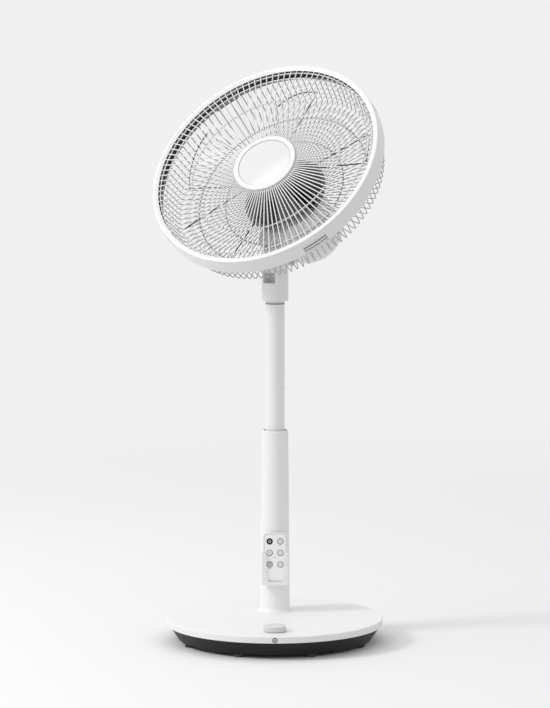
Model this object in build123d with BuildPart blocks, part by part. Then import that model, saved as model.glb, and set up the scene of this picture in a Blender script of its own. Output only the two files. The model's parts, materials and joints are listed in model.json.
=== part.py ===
from build123d import *
import os
from math import cos, radians, sin, sqrt, tan

# A white pedestal fan: round weighted base, two-part telescopic column, a neck that swings and tilts,
# and a caged fan head. Millimetres. The origin is on the floor under the middle of the round base,
# +Z is up and -Y is the front. The head is modelled turned to one side and tilted up.

os.makedirs("parts", exist_ok=True)

# ------------------------------------------------------------------ clearances
seat = 0.05             # between pieces that sit on or run in each other
play = 0.25             # between pieces that move or drop in loosely
room = 1.0              # open space round a shaft or a boss, and past the end of a cut

# ------------------------------------------------------------------ base sizes
base_radius = 180.0
base_height = 40.0      # top of the white cover above the floor
rim_height = 11.0       # white edge of the cover
cover_wall = 3.0
cover_edge = 1.5        # rounding of the cover's top edge
bowl_inset = 2.5        # dark pan inside the cover's edge
bowl_radius = base_radius - bowl_inset
bowl_foot_inset = 18.0
bowl_foot_radius = base_radius - bowl_foot_inset
pan_wall = 3.0
pan_lip = 4.0           # how far the pan's lip stands up inside the cover
foot_height = 6.0       # floor to the underside of the pan
foot_radius = 9.0
foot_inset = 10.0       # feet, ballast and bosses inside the pan's foot
foot_circle = bowl_foot_radius - foot_inset
foot_count = 8
foot_sink = 1.0
weight_inset = 20.0
weight_radius = bowl_foot_radius - weight_inset
weight_thickness = 7.0
boss_inset = 34.0
boss_circle = bowl_foot_radius - boss_inset
boss_count = 6
boss_radius = 6.0
boss_height = 11.0
counterbore_depth = 11.0
cover_pilot = 5.0       # depth of the screw holes in the cover's bosses
foot_round = 1.0

# ------------------------------------------------------------------ the one screw used throughout
screw_radius = 1.5
screw_head = 3.3
screw_head_height = 2.2
screw_length = 7.0
cross_length = 3.6      # cross recess in a screw's head
cross_width = 0.8
cross_depth = 1.1

# ------------------------------------------------------------------ dial and electronics in the base
dial_inset = 50.0       # dial's middle inside the cover's front edge
dial_y = dial_inset - base_radius
dial_radius = 18.5
dial_height = 8.5
dial_lift = 1.0         # dial's underside above the cover
dial_grooves = 60
groove_radius = 0.35
dial_ring_radius = 13.0
dial_ring_width = 0.6
dial_ring_depth = 0.5
dial_crown = 2.0        # solid top of the dial
dial_plain = 1.2        # band without grooves below the dial's top
dial_chamfer = 0.7
encoder_size = 12.4
encoder_height = 6.5
encoder_shaft_radius = 3.0
bushing_radius = 3.7
bushing_height = 7.0
board_width = 80.0
board_depth = 44.0
board_thickness = 1.6
board_drop = 9.4        # cover's underside to the board's top
post_radius = 3.5
post_inset = 5.0
tongue_width = 12.0     # strip of the board that reaches forward to the eye
tongue_length = 18.25
chip_height = 1.8
chips = ((-14.0, 0.0, 11.0, 11.0), (15.0, 6.0, 8.0, 6.0), (15.0, -7.0, 10.0, 5.0))
ir_radius = 4.4
ir_height = 34.0
ir_lens_radius = 2.8
ir_depth = 4.0
ir_step = 0.4
ir_pit_radius = 0.9
ir_pit_depth = 1.2
receiver_width = 7.0
receiver_depth = 4.0
receiver_inset = 16.0
jack_height = 17.0
jack_radius = 4.5
jack_bore = 2.75
jack_width = 11.0
jack_depth = 13.0
jack_recess = 0.3
jack_overlap = 4.0      # how far the round nose runs into the inlet's block
jack_block = 10.0
jack_pin = 1.0
jack_bore_depth = 9.5
jack_tunnel = 4.0       # start of the inlet's hole outside the ballast

# ------------------------------------------------------------------ column sizes
column_y = 65.0
column_foot_radius = 25.0
column_top_radius = 22.25
column_top = 347.0
column_bore = 19.5
column_floor = 6.0
flare_radius = 30.0
flare_height = 6.5
flare_edge = 1.0        # upright edge of the flare
flare_slant = 0.6
flare_bow = (0.65, 0.68)
mouth_chamfer = 1.2
mouth_drop = 1.5
spigot_radius = 18.0
bolt_radius = 4.0
bolt_head = 6.5
bolt_head_height = 6.0
bolt_key = 3.0          # radius of the hexagon socket
bolt_key_depth = 3.0
tower_radius = 24.0
tube_radius = 16.25
tube_wall = 1.5
tube_foot = 240.0
tube_top = 560.0
bush_length = 37.0
guide_length = 45.0
guide_floor = 4.0
guide_lip = 4.0
plug_length = 20.0
plug_flange = 2.5
bush_web = 1.2
button_radius = 6.0
button_drop = 19.0      # button's middle below the top of the column
button_stand = 3.0      # how far it stands out of the column
button_travel = 1.5
button_round = 0.8
spring_thickness = 0.5
spring_outer = 4.8
spring_inner = 3.4

# ------------------------------------------------------------------ neck sizes
neck_radius = 22.4
neck_cap_radius = 21.6  # upper part, a little slimmer
neck_bottom = 566.0
neck_seam = 616.0
neck_wall = 2.9
neck_floor_height = 5.0
pivot_height = 640.0
slot_width = 23.0
slot_floor = 596.0
slot_rear_floor = 607.0
pin_radius = 4.0
pin_end = 20.5          # blind end of the tilt pin, from the middle
pin_head = 21.2         # slotted end of the tilt pin
pin_slot = 1.2
cheek_cut = 30.0        # half the width of the block that rounds the cheeks
spindle_radius = 9.0
spindle_tip = 1.5
clip_radius = 12.0
clip_seat_radius = 7.6
clip_thickness = 1.2
swing_shaft_radius = 2.5
shaft_in_spindle = 6.5
shaft_in_motor = 8.0
shaft_end_gap = 0.5
swing_motor_radius = 14.0
swing_motor_height = 18.0
swing_ear = 1.5
motor_shelf = 3.0       # ring in the neck that the motor's ears rest on

# ------------------------------------------------------------------ head placing
swing_angle = 30.6      # the head's turn to the viewer's left
tilt_angle = 40.1       # the head's tilt above level
axis_rise = 99.0        # fan axis above the tilt pin when level
axis_reach = 130.0      # front of the hoop ahead of the tilt pin

# ------------------------------------------------------------------ guard sizes; depths are behind the hoop
hoop_radius = 203.2
hoop_wall = 3.0
hoop_depth = 30.5
lip_width = 9.2
lip_radius = hoop_radius - lip_width
lip_thickness = 3.0
lip_land = 4.2          # flat part of the hoop's front face
lip_slope = 2.4         # depth of the slope inside the flat part
lug_count = 8
lug_depth = 1.2
lug_reach = 3.6
lug_first = 22.5        # angle of the first lug
lug_arc = 3.4
hoop_round = 1.6
wire_gap = 0.2          # wires to the lip and the lugs
wire_end_gap = 0.7      # wire ends to the hoop
rim_gap = 0.3
inner_ring_inset = 2.3
front_wire = 1.0        # wire radii
rear_wire = 0.9
ring_wire = 1.1
rim_wire = 1.5
rear_rim_wire = 2.0
back_ring_wire = 1.3
wire_count = 108
front_ring_insets = (69.2, 22.9, 11.8)  # inside the hoop's outside
front_ring_radii = [hoop_radius - inset for inset in front_ring_insets]
wire_inner = 51.5
rear_rim_depth = 27.6
basket_inset = 17.2     # basket's shoulder inside the hoop's outside
basket_radius = hoop_radius - basket_inset
plate_radius = 73.0
basket_depth = 74.0
basket_bend = 7.0
plate_overlap = 6.0     # how far the wires run over the plate
back_inner = plate_radius - plate_overlap
back_depth = 88.9
back_ring_insets = (96.2, 50.2)
back_ring_radii = [hoop_radius - inset for inset in back_ring_insets]
plate_thickness = 1.6
plate_hole = 22.0
latch_arc = 12.4
latch_start = 12.5
latch_thickness = 2.6
latch_end = 31.8
latch_hook = 3.4
hook_thickness = 1.8
latch_inset = 0.4       # latch's inner face outside the hoop's
latch_side_gap = 0.15
latch_pin_radius = 0.8
pin_overhang = 3.0      # how far each hinge pin runs into the hoop
barrel_radius = 1.7
barrel_gap = 0.6
slot_start = 11.0
ridge_height = 1.6
ridge_width = 1.0
latch_angles = (45.0, 135.0, 225.0, 315.0)
ridge_depths = (18.5, 21.5, 24.5, 27.5)

# ------------------------------------------------------------------ centre cap sizes
cap_ring_radius = 55.5
badge_radius = 46.2
badge_floor = 2.0
badge_edge = 1.0
badge_dome = 0.9
cap_back_thickness = 2.5
cap_screw_circle = 40.0
cap_screw_angle = 90.0
cap_face = 0.2          # depth of the ring's front face
cap_edge = 1.2
cap_chamfer = 1.0
cap_lip = 0.9

# ------------------------------------------------------------------ motor and blade sizes
nut_radius = 34.0
nut_thickness = 7.8
thread_radius = 20.0
thread_proud = 2.0      # thread that shows in front of the nut
thread_relief = 0.5
scallop_count = 8
scallop_radius = 5.0
scallop_offset = 3.0
face_radius = 54.0      # dark disc on the front of the motor
face_thickness = 3.0
can_radius = 44.0
can_wall = 2.5
can_post_circle = 47.5
can_post_radius = 4.0
can_post_count = 3
stator_bore = 25.0
stator_start = 106.0
stator_length = 40.0
stator_slots = 12
stator_slot_length = 11.0
stator_slot_width = 3.6
rotor_radius = 24.4
bearing_radius = 11.0
bearing_width = 8.0
bearing_wall = 3.0
shaft_radius = 4.0
shaft_front = 20.0
housing_radius = 56.0
housing_wall = 2.5
housing_split = 163.0
bulkhead = 3.0
housing_end = 230.0
housing_round = 28.0
cover_screw_circle = 34.0
cover_screw_reach = 22.0
cover_screw_depth = housing_end - cover_screw_reach
cover_screw_angle = 60.0
well_floor = 3.0
well_radius = 5.6
vent_count = 16
vent_width = 2.4
vent_length = 12.0
vent_circle = 20.0
hub_radius = 36.0
hub_wall = 2.5
hub_front = 30.0
hub_rear = 66.0
hub_chamfer = 4.0
hub_boss = 8.0
hub_boss_inset = 4.0
blade_count = 5
blade_start = 9.3       # angle of the first front edge
blade_sweep = 31.6
blade_inset = 31.2      # tips inside the hoop's outside
blade_tip = hoop_radius - blade_inset
blade_front = 29.5
blade_rear = 65.0
blade_thickness = 3.0
blade_root_sag = 1.5    # how far each end of a blade bows forward
blade_tip_sag = 7.0
blade_sink = 3.0        # how far the blade's root starts inside the hub
blade_trim = 2.0
blade_margin = 20.0
spinner_radius = 13.0
spinner_height = 10.0
spinner_round = 3.0

# ------------------------------------------------------------------ tilt arm sizes
pad_half_width = 26.0
pad_half_length = 32.0
pad_drop = 60.0         # pad's flat face below the fan axis
pad_floor = 3.0         # thickness that the arm's screws pass through
pad_screw_x = 19.0
pad_screw_y = 26.0
pad_corner = 6.0
pad_sink = 8.0          # how far the pad's block runs into the drum
saddle_start = 4.0
tail_width = 13.0
arm_round = 24.6        # hollow in the arm round the neck's top
eye_radius = 19.0
eye_width = 22.4
tail_radius = 30.0
web_half_length = 17.0

# ------------------------------------------------------------------ remote and holder sizes
remote_width = 40.0
remote_length = 82.3
remote_thickness = 7.0
remote_corner = 6.0
remote_foot = 94.3      # height of the remote's lower end
remote_face_y = 31.9
remote_wall = 1.3
remote_round = 0.8
remote_board_thickness = 0.8
remote_board_corner = 4.0
back_plate = 1.2
led_inset = 2.5
led_width = 4.0
led_depth = 3.0
led_height = 1.2
coin_radius = 10.0
key_radius = 4.9
key_pitch_x = 18.0
key_pitch_z = 19.6
key_top_inset = 14.1
key_travel = 0.6
key_stand = 0.4
key_gap = 0.15
key_clear = 0.1
key_flange = 0.6        # thickness of the rim that keeps a key in the case
key_flange_reach = 0.9
key_round = 0.4
holder_half_width = 24.0
holder_bottom = 88.0
holder_top = 143.0
holder_front_wall = 2.0
window_half_width = 14.3
window_corner = 9.0
window_rise = 5.0       # lower edge of the window above the holder's foot
window_over = 20.0
holder_gap = 0.3
holder_back = 3.0
holder_corner = 3.0
holder_screw_height = 119.0
holder_screw_x = 13.0

# ------------------------------------------------------------------ places worked out from the sizes
rim_bottom = base_height - rim_height
cover_under = base_height - cover_wall
pan_top = rim_bottom - 2 * seat
pan_floor = foot_height + pan_wall
bowl_slope = (bowl_radius - bowl_foot_radius) / (rim_bottom - foot_height)
wall_slant = pan_wall * sqrt(1 + bowl_slope**2)
inner_floor_radius = bowl_foot_radius + bowl_slope * pan_wall - wall_slant
inner_top_radius = bowl_radius - wall_slant
board_top = cover_under - board_drop
board_bottom = board_top - board_thickness
board_front = dial_y - board_depth / 2
encoder_bottom = board_top + seat
encoder_top = encoder_bottom + encoder_height
bushing_top = encoder_top + bushing_height
dial_bottom = base_height + dial_lift
dial_top = dial_bottom + dial_height
shaft_bottom = encoder_bottom + 2 * room
column_base = base_height + seat
column_floor_top = column_base + column_floor
bush_bottom = column_top - room - bush_length
floor_top = neck_bottom + neck_floor_height
clip_bottom = floor_top + 2 * seat
spindle_top = clip_bottom + clip_thickness + spindle_tip
swing_motor_bottom = spindle_top + room
swing_motor_top = swing_motor_bottom + swing_motor_height

column_profile = Plane(origin=(0, column_y, 0), x_dir=(1, 0, 0), z_dir=(0, -1, 0))
base_profile = Plane(origin=(0, 0, 0), x_dir=(1, 0, 0), z_dir=(0, -1, 0))
column_axis = Axis((0, column_y, 0), (0, 0, 1))

side_way = Vector(cos(radians(swing_angle)), -sin(radians(swing_angle)), 0)
ahead = Vector(-sin(radians(swing_angle)), -cos(radians(swing_angle)), 0)
fan_way = ahead * cos(radians(tilt_angle)) + Vector(0, 0, 1) * sin(radians(tilt_angle))
head_up = Vector(0, 0, 1) * cos(radians(tilt_angle)) - ahead * sin(radians(tilt_angle))
pivot = Vector(0, column_y, pivot_height)
hoop_centre = pivot + fan_way * axis_reach + head_up * axis_rise
head = Plane(origin=hoop_centre, x_dir=side_way, z_dir=fan_way)
head_profile = Plane(origin=hoop_centre, x_dir=side_way, z_dir=head_up * -1)
head_side = Plane(origin=pivot, x_dir=fan_way, z_dir=side_way * -1)
fan_axis = Axis(hoop_centre, fan_way)
pin_plane = Plane(origin=pivot, x_dir=ahead, z_dir=side_way * -1)


def column_radius(height):
    """Outer radius of the tapered outer column at a height."""
    taper = (column_foot_radius - column_top_radius) / (column_top - base_height)
    return column_foot_radius - taper * (height - base_height)


def neck_plane(height):
    """Level plane on the column's axis, with X along the tilt pin and -Y where the head points."""
    return Plane(origin=(0, column_y, height), x_dir=side_way, z_dir=(0, 0, 1))


def level(height):
    """Level plane on the column's axis, square to the base."""
    return Plane(origin=(0, column_y, height), x_dir=(1, 0, 0), z_dir=(0, 0, 1))


def behind(depth):
    """Plane across the fan axis at a depth behind the hoop's front."""
    return head.offset(-depth)


# ================================================================== BASE
# White cover: a shallow disc whose edge hangs over the dark pan.
with BuildPart() as base_cover:
    with BuildSketch(Plane.XY.offset(rim_bottom)):
        Circle(base_radius)
    extrude(amount=rim_height)
    fillet(base_cover.edges().group_by(Axis.Z)[-1], cover_edge)
    with BuildSketch(Plane.XY.offset(rim_bottom)):
        Circle(base_radius - cover_wall)
    extrude(amount=rim_height - cover_wall, mode=Mode.SUBTRACT)
    with BuildSketch(Plane.XY.offset(pan_floor + boss_height)):
        with PolarLocations(boss_circle, boss_count):
            Circle(boss_radius)
    extrude(amount=cover_under - pan_floor - boss_height)
    with BuildSketch(Plane.XY.offset(board_top + seat)):
        with Locations((0, dial_y)):
            with GridLocations(board_width - 2 * post_inset, board_depth - 2 * post_inset, 2, 2):
                Circle(post_radius)
    extrude(amount=board_drop - seat)
    with BuildSketch(Plane.XY.offset(pan_floor + boss_height)):
        with PolarLocations(boss_circle, boss_count):
            Circle(screw_radius + seat)
    extrude(amount=cover_pilot, mode=Mode.SUBTRACT)
    with BuildSketch(Plane.XY.offset(board_top)):
        with Locations((0, dial_y)):
            with GridLocations(board_width - 2 * post_inset, board_depth - 2 * post_inset, 2, 2):
                Circle(screw_radius + seat)
    extrude(amount=screw_length - board_thickness + play, mode=Mode.SUBTRACT)
    with BuildSketch(Plane.XY.offset(cover_under)):
        with Locations((0, dial_y)):
            Circle(bushing_radius + seat)
        with Locations((0, column_y)):
            Circle(spigot_radius + seat)
    extrude(amount=cover_wall, mode=Mode.SUBTRACT)
    with BuildSketch(Plane(origin=(0, -base_radius - room, ir_height), x_dir=(1, 0, 0), z_dir=(0, 1, 0))):
        Circle(ir_radius)
    extrude(amount=2 * cover_wall, mode=Mode.SUBTRACT)
base_cover.part.label = "base_cover"
export_step(base_cover.part, "parts/base_cover.step")

# Dark pan: flat bottom, slanting bowl wall, a lip inside the cover, screw bosses and the column's tower.
jack_hole_start = (0, weight_radius + jack_tunnel, jack_height)
jack_hole_plane = Plane(origin=jack_hole_start, x_dir=(1, 0, 0), z_dir=(0, 1, 0))
with BuildPart() as base_pan:
    with BuildSketch(base_profile):
        with BuildLine():
            Polyline(
                (0, foot_height),
                (bowl_foot_radius, foot_height),
                (bowl_radius - bowl_slope * 2 * seat, pan_top),
                (base_radius - cover_wall - play, pan_top),
                (base_radius - cover_wall - play, pan_top + pan_lip),
                (inner_top_radius, pan_top + pan_lip),
                (inner_top_radius, pan_top),
                (inner_floor_radius, pan_floor),
                (0, pan_floor),
                close=True,
            )
        make_face()
    revolve(axis=Axis.Z)
    with BuildSketch(Plane.XY.offset(pan_floor)):
        with PolarLocations(boss_circle, boss_count):
            Circle(boss_radius)
    extrude(amount=boss_height - seat)
    with BuildSketch(Plane.XY.offset(pan_floor)):
        with Locations((0, column_y)):
            Circle(tower_radius)
    extrude(amount=cover_under - pan_floor - seat)
    with BuildSketch(Plane.XY.offset(foot_height)):
        with PolarLocations(foot_circle, foot_count, start_angle=180 / foot_count):
            Circle(foot_radius + seat)
    extrude(amount=foot_sink, mode=Mode.SUBTRACT)
    with BuildSketch(Plane.XY.offset(foot_height)):
        with PolarLocations(boss_circle, boss_count):
            Circle(screw_head + play)
    extrude(amount=counterbore_depth, mode=Mode.SUBTRACT)
    with BuildSketch(Plane.XY.offset(foot_height)):
        with PolarLocations(boss_circle, boss_count):
            Circle(screw_radius + seat)
    extrude(amount=pan_wall + boss_height, mode=Mode.SUBTRACT)
    with BuildSketch(Plane.XY.offset(foot_height)):
        with Locations((0, column_y)):
            Circle(bolt_head + room)
    extrude(amount=bolt_head_height + room, mode=Mode.SUBTRACT)
    with BuildSketch(Plane.XY.offset(foot_height)):
        with Locations((0, column_y)):
            Circle(bolt_radius + play)
    extrude(amount=cover_under, mode=Mode.SUBTRACT)
    with BuildSketch(jack_hole_plane):
        Circle(jack_radius + seat)
    extrude(amount=base_radius - weight_radius, mode=Mode.SUBTRACT)
    with BuildSketch(Plane.XY.offset(pan_top)):
        with Locations((0, -bowl_radius)):
            Rectangle(4 * ir_radius, 8 * ir_radius)
    extrude(amount=2 * pan_lip, mode=Mode.SUBTRACT)
base_pan.part.label = "base_pan"
export_step(base_pan.part, "parts/base_pan.step")

# Steel ballast plate lying on the pan's floor.
with BuildPart() as base_weight:
    with BuildSketch(Plane.XY.offset(pan_floor + seat)):
        Circle(weight_radius)
        with PolarLocations(boss_circle, boss_count):
            Circle(boss_radius + room, mode=Mode.SUBTRACT)
        with Locations((0, column_y)):
            Circle(tower_radius + room, mode=Mode.SUBTRACT)
    extrude(amount=weight_thickness)
base_weight.part.label = "base_weight"
export_step(base_weight.part, "parts/base_weight.step")

with BuildPart() as rubber_feet:
    with BuildSketch(Plane.XY):
        with PolarLocations(foot_circle, foot_count, start_angle=180 / foot_count):
            Circle(foot_radius)
    extrude(amount=foot_height + foot_sink - seat)
    fillet(rubber_feet.edges().group_by(Axis.Z)[0], foot_round)
rubber_feet.part.label = "rubber_feet"
export_step(rubber_feet.part, "parts/rubber_feet.step")

# ================================================================== ELECTRONICS IN THE BASE
with BuildPart() as control_board:
    with BuildSketch(Plane.XY.offset(board_bottom)):
        with Locations((0, dial_y)):
            Rectangle(board_width, board_depth)
        with Locations((0, board_front - tongue_length / 2)):
            Rectangle(tongue_width, tongue_length)
        with Locations((0, dial_y)):
            with GridLocations(board_width - 2 * post_inset, board_depth - 2 * post_inset, 2, 2):
                Circle(screw_radius + play, mode=Mode.SUBTRACT)
    extrude(amount=board_thickness)
    with BuildSketch(Plane.XY.offset(board_bottom - chip_height)):
        for chip_x, chip_y, chip_width, chip_depth in chips:
            with Locations((chip_x, dial_y + chip_y)):
                Rectangle(chip_width, chip_depth)
    extrude(amount=chip_height)
    with BuildSketch(Plane.XY.offset(board_top)):
        with Locations((0, board_front - receiver_inset)):
            Rectangle(receiver_width, receiver_depth)
    extrude(amount=cover_under - board_top - room)
control_board.part.label = "control_board"
export_step(control_board.part, "parts/control_board.step")

# Rotary encoder: a square can on the board and a bushing up through the cover.
with BuildPart() as encoder_body:
    with BuildSketch(Plane.XY.offset(encoder_bottom)):
        with Locations((0, dial_y)):
            Rectangle(encoder_size, encoder_size)
    extrude(amount=encoder_height)
    with BuildSketch(Plane.XY.offset(encoder_top)):
        with Locations((0, dial_y)):
            Circle(bushing_radius)
    extrude(amount=bushing_height)
    with BuildSketch(Plane.XY.offset(encoder_bottom + room)):
        with Locations((0, dial_y)):
            Circle(encoder_shaft_radius + seat)
    extrude(amount=encoder_height + bushing_height, mode=Mode.SUBTRACT)
encoder_body.part.label = "encoder_body"
export_step(encoder_body.part, "parts/encoder_body.step")

with BuildPart() as encoder_shaft:
    with BuildSketch(Plane.XY.offset(shaft_bottom)):
        with Locations((0, dial_y)):
            Circle(encoder_shaft_radius)
    extrude(amount=dial_top - dial_crown - shaft_bottom)
encoder_shaft.part.label = "encoder_shaft"
export_step(encoder_shaft.part, "parts/encoder_shaft.step")

# Dial: knurled drum with a ring cut in its top, hollow below for the encoder's bushing.
with BuildPart() as speed_dial:
    with BuildSketch(Plane.XY.offset(dial_bottom)):
        with Locations((0, dial_y)):
            Circle(dial_radius)
    extrude(amount=dial_height)
    chamfer(speed_dial.edges().group_by(Axis.Z)[-1], dial_chamfer)
    with BuildSketch(Plane.XY.offset(dial_bottom)):
        with Locations((0, dial_y)):
            with PolarLocations(dial_radius, dial_grooves):
                Circle(groove_radius)
    extrude(amount=dial_height - dial_plain, mode=Mode.SUBTRACT)
    with BuildSketch(Plane.XY.offset(dial_top - dial_ring_depth)):
        with Locations((0, dial_y)):
            Circle(dial_ring_radius + dial_ring_width)
            Circle(dial_ring_radius, mode=Mode.SUBTRACT)
    extrude(amount=dial_ring_depth, mode=Mode.SUBTRACT)
    with BuildSketch(Plane.XY.offset(dial_bottom)):
        with Locations((0, dial_y)):
            Circle(bushing_radius + room)
    extrude(amount=bushing_top - dial_bottom + play, mode=Mode.SUBTRACT)
    with BuildSketch(Plane.XY.offset(dial_bottom)):
        with Locations((0, dial_y)):
            Circle(encoder_shaft_radius + seat)
    extrude(amount=dial_height - dial_crown + seat, mode=Mode.SUBTRACT)
speed_dial.part.label = "speed_dial"
export_step(speed_dial.part, "parts/speed_dial.step")

# Remote-control eye in the front of the rim: dark surround with the lens a step below it.
ir_plane = Plane(origin=(0, -base_radius, ir_height), x_dir=(1, 0, 0), z_dir=(0, 1, 0))
with BuildPart() as ir_window:
    with BuildSketch(ir_plane):
        Circle(ir_radius - seat)
    extrude(amount=ir_depth)
    with BuildSketch(ir_plane.offset(ir_depth)):
        Circle(ir_lens_radius)
    extrude(amount=ir_depth)
    with BuildSketch(ir_plane):
        Circle(ir_lens_radius)
    extrude(amount=ir_step, mode=Mode.SUBTRACT)
    with BuildSketch(ir_plane):
        Circle(ir_pit_radius)
    extrude(amount=ir_step + ir_pit_depth, mode=Mode.SUBTRACT)
ir_window.part.label = "ir_window"
export_step(ir_window.part, "parts/ir_window.step")

# Barrel power inlet at the back of the pan.
jack_face = bowl_foot_radius + bowl_slope * (jack_height - jack_radius - foot_height) - jack_recess
with BuildPart() as power_inlet:
    with BuildSketch(Plane(origin=(0, jack_face, jack_height), x_dir=(1, 0, 0), z_dir=(0, -1, 0))):
        Circle(jack_radius)
    extrude(amount=jack_depth + jack_overlap)
    with BuildSketch(Plane.XY.offset(pan_floor + seat)):
        with Locations((0, jack_face - jack_depth)):
            Rectangle(jack_width, jack_block)
    extrude(amount=2 * (jack_height - pan_floor - seat))
    with BuildSketch(Plane(origin=(0, jack_face, jack_height), x_dir=(1, 0, 0), z_dir=(0, -1, 0))):
        Circle(jack_bore)
        Circle(jack_pin, mode=Mode.SUBTRACT)
    extrude(amount=jack_bore_depth, mode=Mode.SUBTRACT)
power_inlet.part.label = "power_inlet"
export_step(power_inlet.part, "parts/power_inlet.step")

# ================================================================== COLUMN
# Outer column: tapered tube with a flared foot, a thick floor and a spigot in the cover's hole.
button_height = column_top - button_drop
button_plane = Plane(origin=(0, column_y, button_height), x_dir=(1, 0, 0), z_dir=(0, 1, 0))
with BuildPart() as outer_column:
    with BuildSketch(column_profile):
        with BuildLine():
            foot_edge = (flare_radius - flare_slant, column_base + flare_edge)
            flare_end = (column_radius(base_height + flare_height), base_height + flare_height)
            Polyline((0, column_base - cover_wall), (spigot_radius, column_base - cover_wall))
            Polyline((spigot_radius, column_base - cover_wall), (spigot_radius, column_base))
            Polyline((spigot_radius, column_base), (flare_radius, column_base), foot_edge)
            ThreePointArc(
                foot_edge,
                (
                    flare_end[0] * flare_bow[0] + foot_edge[0] * (1 - flare_bow[0]),
                    foot_edge[1] * flare_bow[1] + flare_end[1] * (1 - flare_bow[1]),
                ),
                flare_end,
            )
            Polyline(
                flare_end,
                (column_radius(column_top - mouth_drop), column_top - mouth_drop),
                (column_radius(column_top) - mouth_chamfer, column_top),
                (column_bore, column_top),
                (column_bore, column_floor_top),
                (0, column_floor_top),
                (0, column_base - cover_wall),
            )
        make_face()
    revolve(axis=column_axis)
    with BuildSketch(level(column_base - cover_wall)):
        Circle(bolt_radius + seat)
    extrude(amount=cover_wall + column_floor, mode=Mode.SUBTRACT)
    with BuildSketch(button_plane):
        Circle(button_radius + seat)
    extrude(amount=column_foot_radius, mode=Mode.SUBTRACT)
    with BuildSketch(Plane(origin=(0, column_y, holder_screw_height), x_dir=(1, 0, 0), z_dir=(0, -1, 0))):
        with Locations((-holder_screw_x, 0), (holder_screw_x, 0)):
            Circle(screw_radius + seat)
    extrude(amount=column_foot_radius, mode=Mode.SUBTRACT)
outer_column.part.label = "outer_column"
export_step(outer_column.part, "parts/outer_column.step")

with BuildPart() as column_bolt:
    with BuildSketch(level(foot_height + room)):
        Circle(bolt_head)
        RegularPolygon(bolt_key, 6, mode=Mode.SUBTRACT)
    extrude(amount=bolt_head_height - seat)
    with BuildSketch(level(foot_height + room + bolt_key_depth)):
        Circle(bolt_radius)
    extrude(amount=column_floor_top - foot_height - 2 * room - bolt_key_depth)
column_bolt.part.label = "column_bolt"
export_step(column_bolt.part, "parts/column_bolt.step")

# Guide bush at the column's mouth, with a pocket for the height button.
with BuildPart() as column_bush:
    with BuildSketch(level(bush_bottom)):
        Circle(column_bore - seat)
        Circle(tube_radius + seat, mode=Mode.SUBTRACT)
    extrude(amount=bush_length)
    with BuildSketch(button_plane.offset(tube_radius + bush_web)):
        Circle(button_radius + play)
    extrude(amount=column_bore, mode=Mode.SUBTRACT)
column_bush.part.label = "column_bush"
export_step(column_bush.part, "parts/column_bush.step")

# Height button with the wave spring under it.
button_back = tube_radius + bush_web + button_travel + spring_thickness + 2 * seat
with BuildPart() as height_button:
    with BuildSketch(button_plane.offset(button_back)):
        Circle(button_radius)
    extrude(amount=column_radius(button_height) + button_stand - button_back)
    fillet(height_button.edges().group_by(Axis.Y)[-1], button_round)
height_button.part.label = "height_button"
export_step(height_button.part, "parts/height_button.step")

with BuildPart() as button_spring:
    with BuildSketch(button_plane.offset(tube_radius + bush_web + seat)):
        Circle(spring_outer)
        Circle(spring_inner, mode=Mode.SUBTRACT)
    extrude(amount=spring_thickness)
button_spring.part.label = "button_spring"
export_step(button_spring.part, "parts/button_spring.step")

with BuildPart() as inner_tube:
    with BuildSketch(level(tube_foot)):
        Circle(tube_radius)
        Circle(tube_radius - tube_wall, mode=Mode.SUBTRACT)
    extrude(amount=tube_top - tube_foot)
inner_tube.part.label = "inner_tube"
export_step(inner_tube.part, "parts/inner_tube.step")

# Guide sleeve on the lower end of the inner tube, running in the outer column.
with BuildPart() as tube_guide:
    with BuildSketch(level(tube_foot - guide_floor)):
        Circle(column_bore - seat)
    extrude(amount=guide_floor + guide_length)
    with BuildSketch(level(tube_foot - seat)):
        Circle(tube_radius + seat)
    extrude(amount=guide_length + seat, mode=Mode.SUBTRACT)
    with BuildSketch(level(tube_foot - guide_floor)):
        Circle(tube_radius - tube_wall - guide_lip)
    extrude(amount=guide_floor, mode=Mode.SUBTRACT)
tube_guide.part.label = "tube_guide"
export_step(tube_guide.part, "parts/tube_guide.step")

# Plug in the top of the inner tube, with the spindle that the neck swings on.
with BuildPart() as tube_plug:
    with BuildSketch(level(tube_top - plug_length)):
        Circle(tube_radius - tube_wall - seat)
    extrude(amount=plug_length + seat)
    with BuildSketch(level(tube_top + seat)):
        Circle(tube_radius)
    extrude(amount=plug_flange)
    with BuildSketch(level(tube_top + plug_flange)):
        Circle(spindle_radius)
    extrude(amount=spindle_top - tube_top - plug_flange)
    with BuildSketch(level(clip_bottom - seat)):
        Circle(spindle_radius + room)
        Circle(clip_seat_radius, mode=Mode.SUBTRACT)
    extrude(amount=clip_thickness + 2 * seat, mode=Mode.SUBTRACT)
    with BuildSketch(level(floor_top - shaft_in_spindle - shaft_end_gap)):
        Circle(swing_shaft_radius + seat)
    extrude(amount=spindle_top - floor_top + shaft_in_spindle + shaft_end_gap, mode=Mode.SUBTRACT)
tube_plug.part.label = "tube_plug"
export_step(tube_plug.part, "parts/tube_plug.step")

with BuildPart() as thrust_washer:
    with BuildSketch(level(tube_top + plug_flange + 2 * seat)):
        Circle(tube_radius)
        Circle(spindle_radius + seat, mode=Mode.SUBTRACT)
    extrude(amount=neck_bottom - tube_top - plug_flange - 3 * seat)
thrust_washer.part.label = "thrust_washer"
export_step(thrust_washer.part, "parts/thrust_washer.step")

# ================================================================== NECK
with BuildPart() as neck_floor:
    with BuildSketch(neck_plane(neck_bottom)):
        Circle(neck_radius - neck_wall - seat)
        Circle(spindle_radius + seat, mode=Mode.SUBTRACT)
    extrude(amount=neck_floor_height)
neck_floor.part.label = "neck_floor"
export_step(neck_floor.part, "parts/neck_floor.step")

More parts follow.
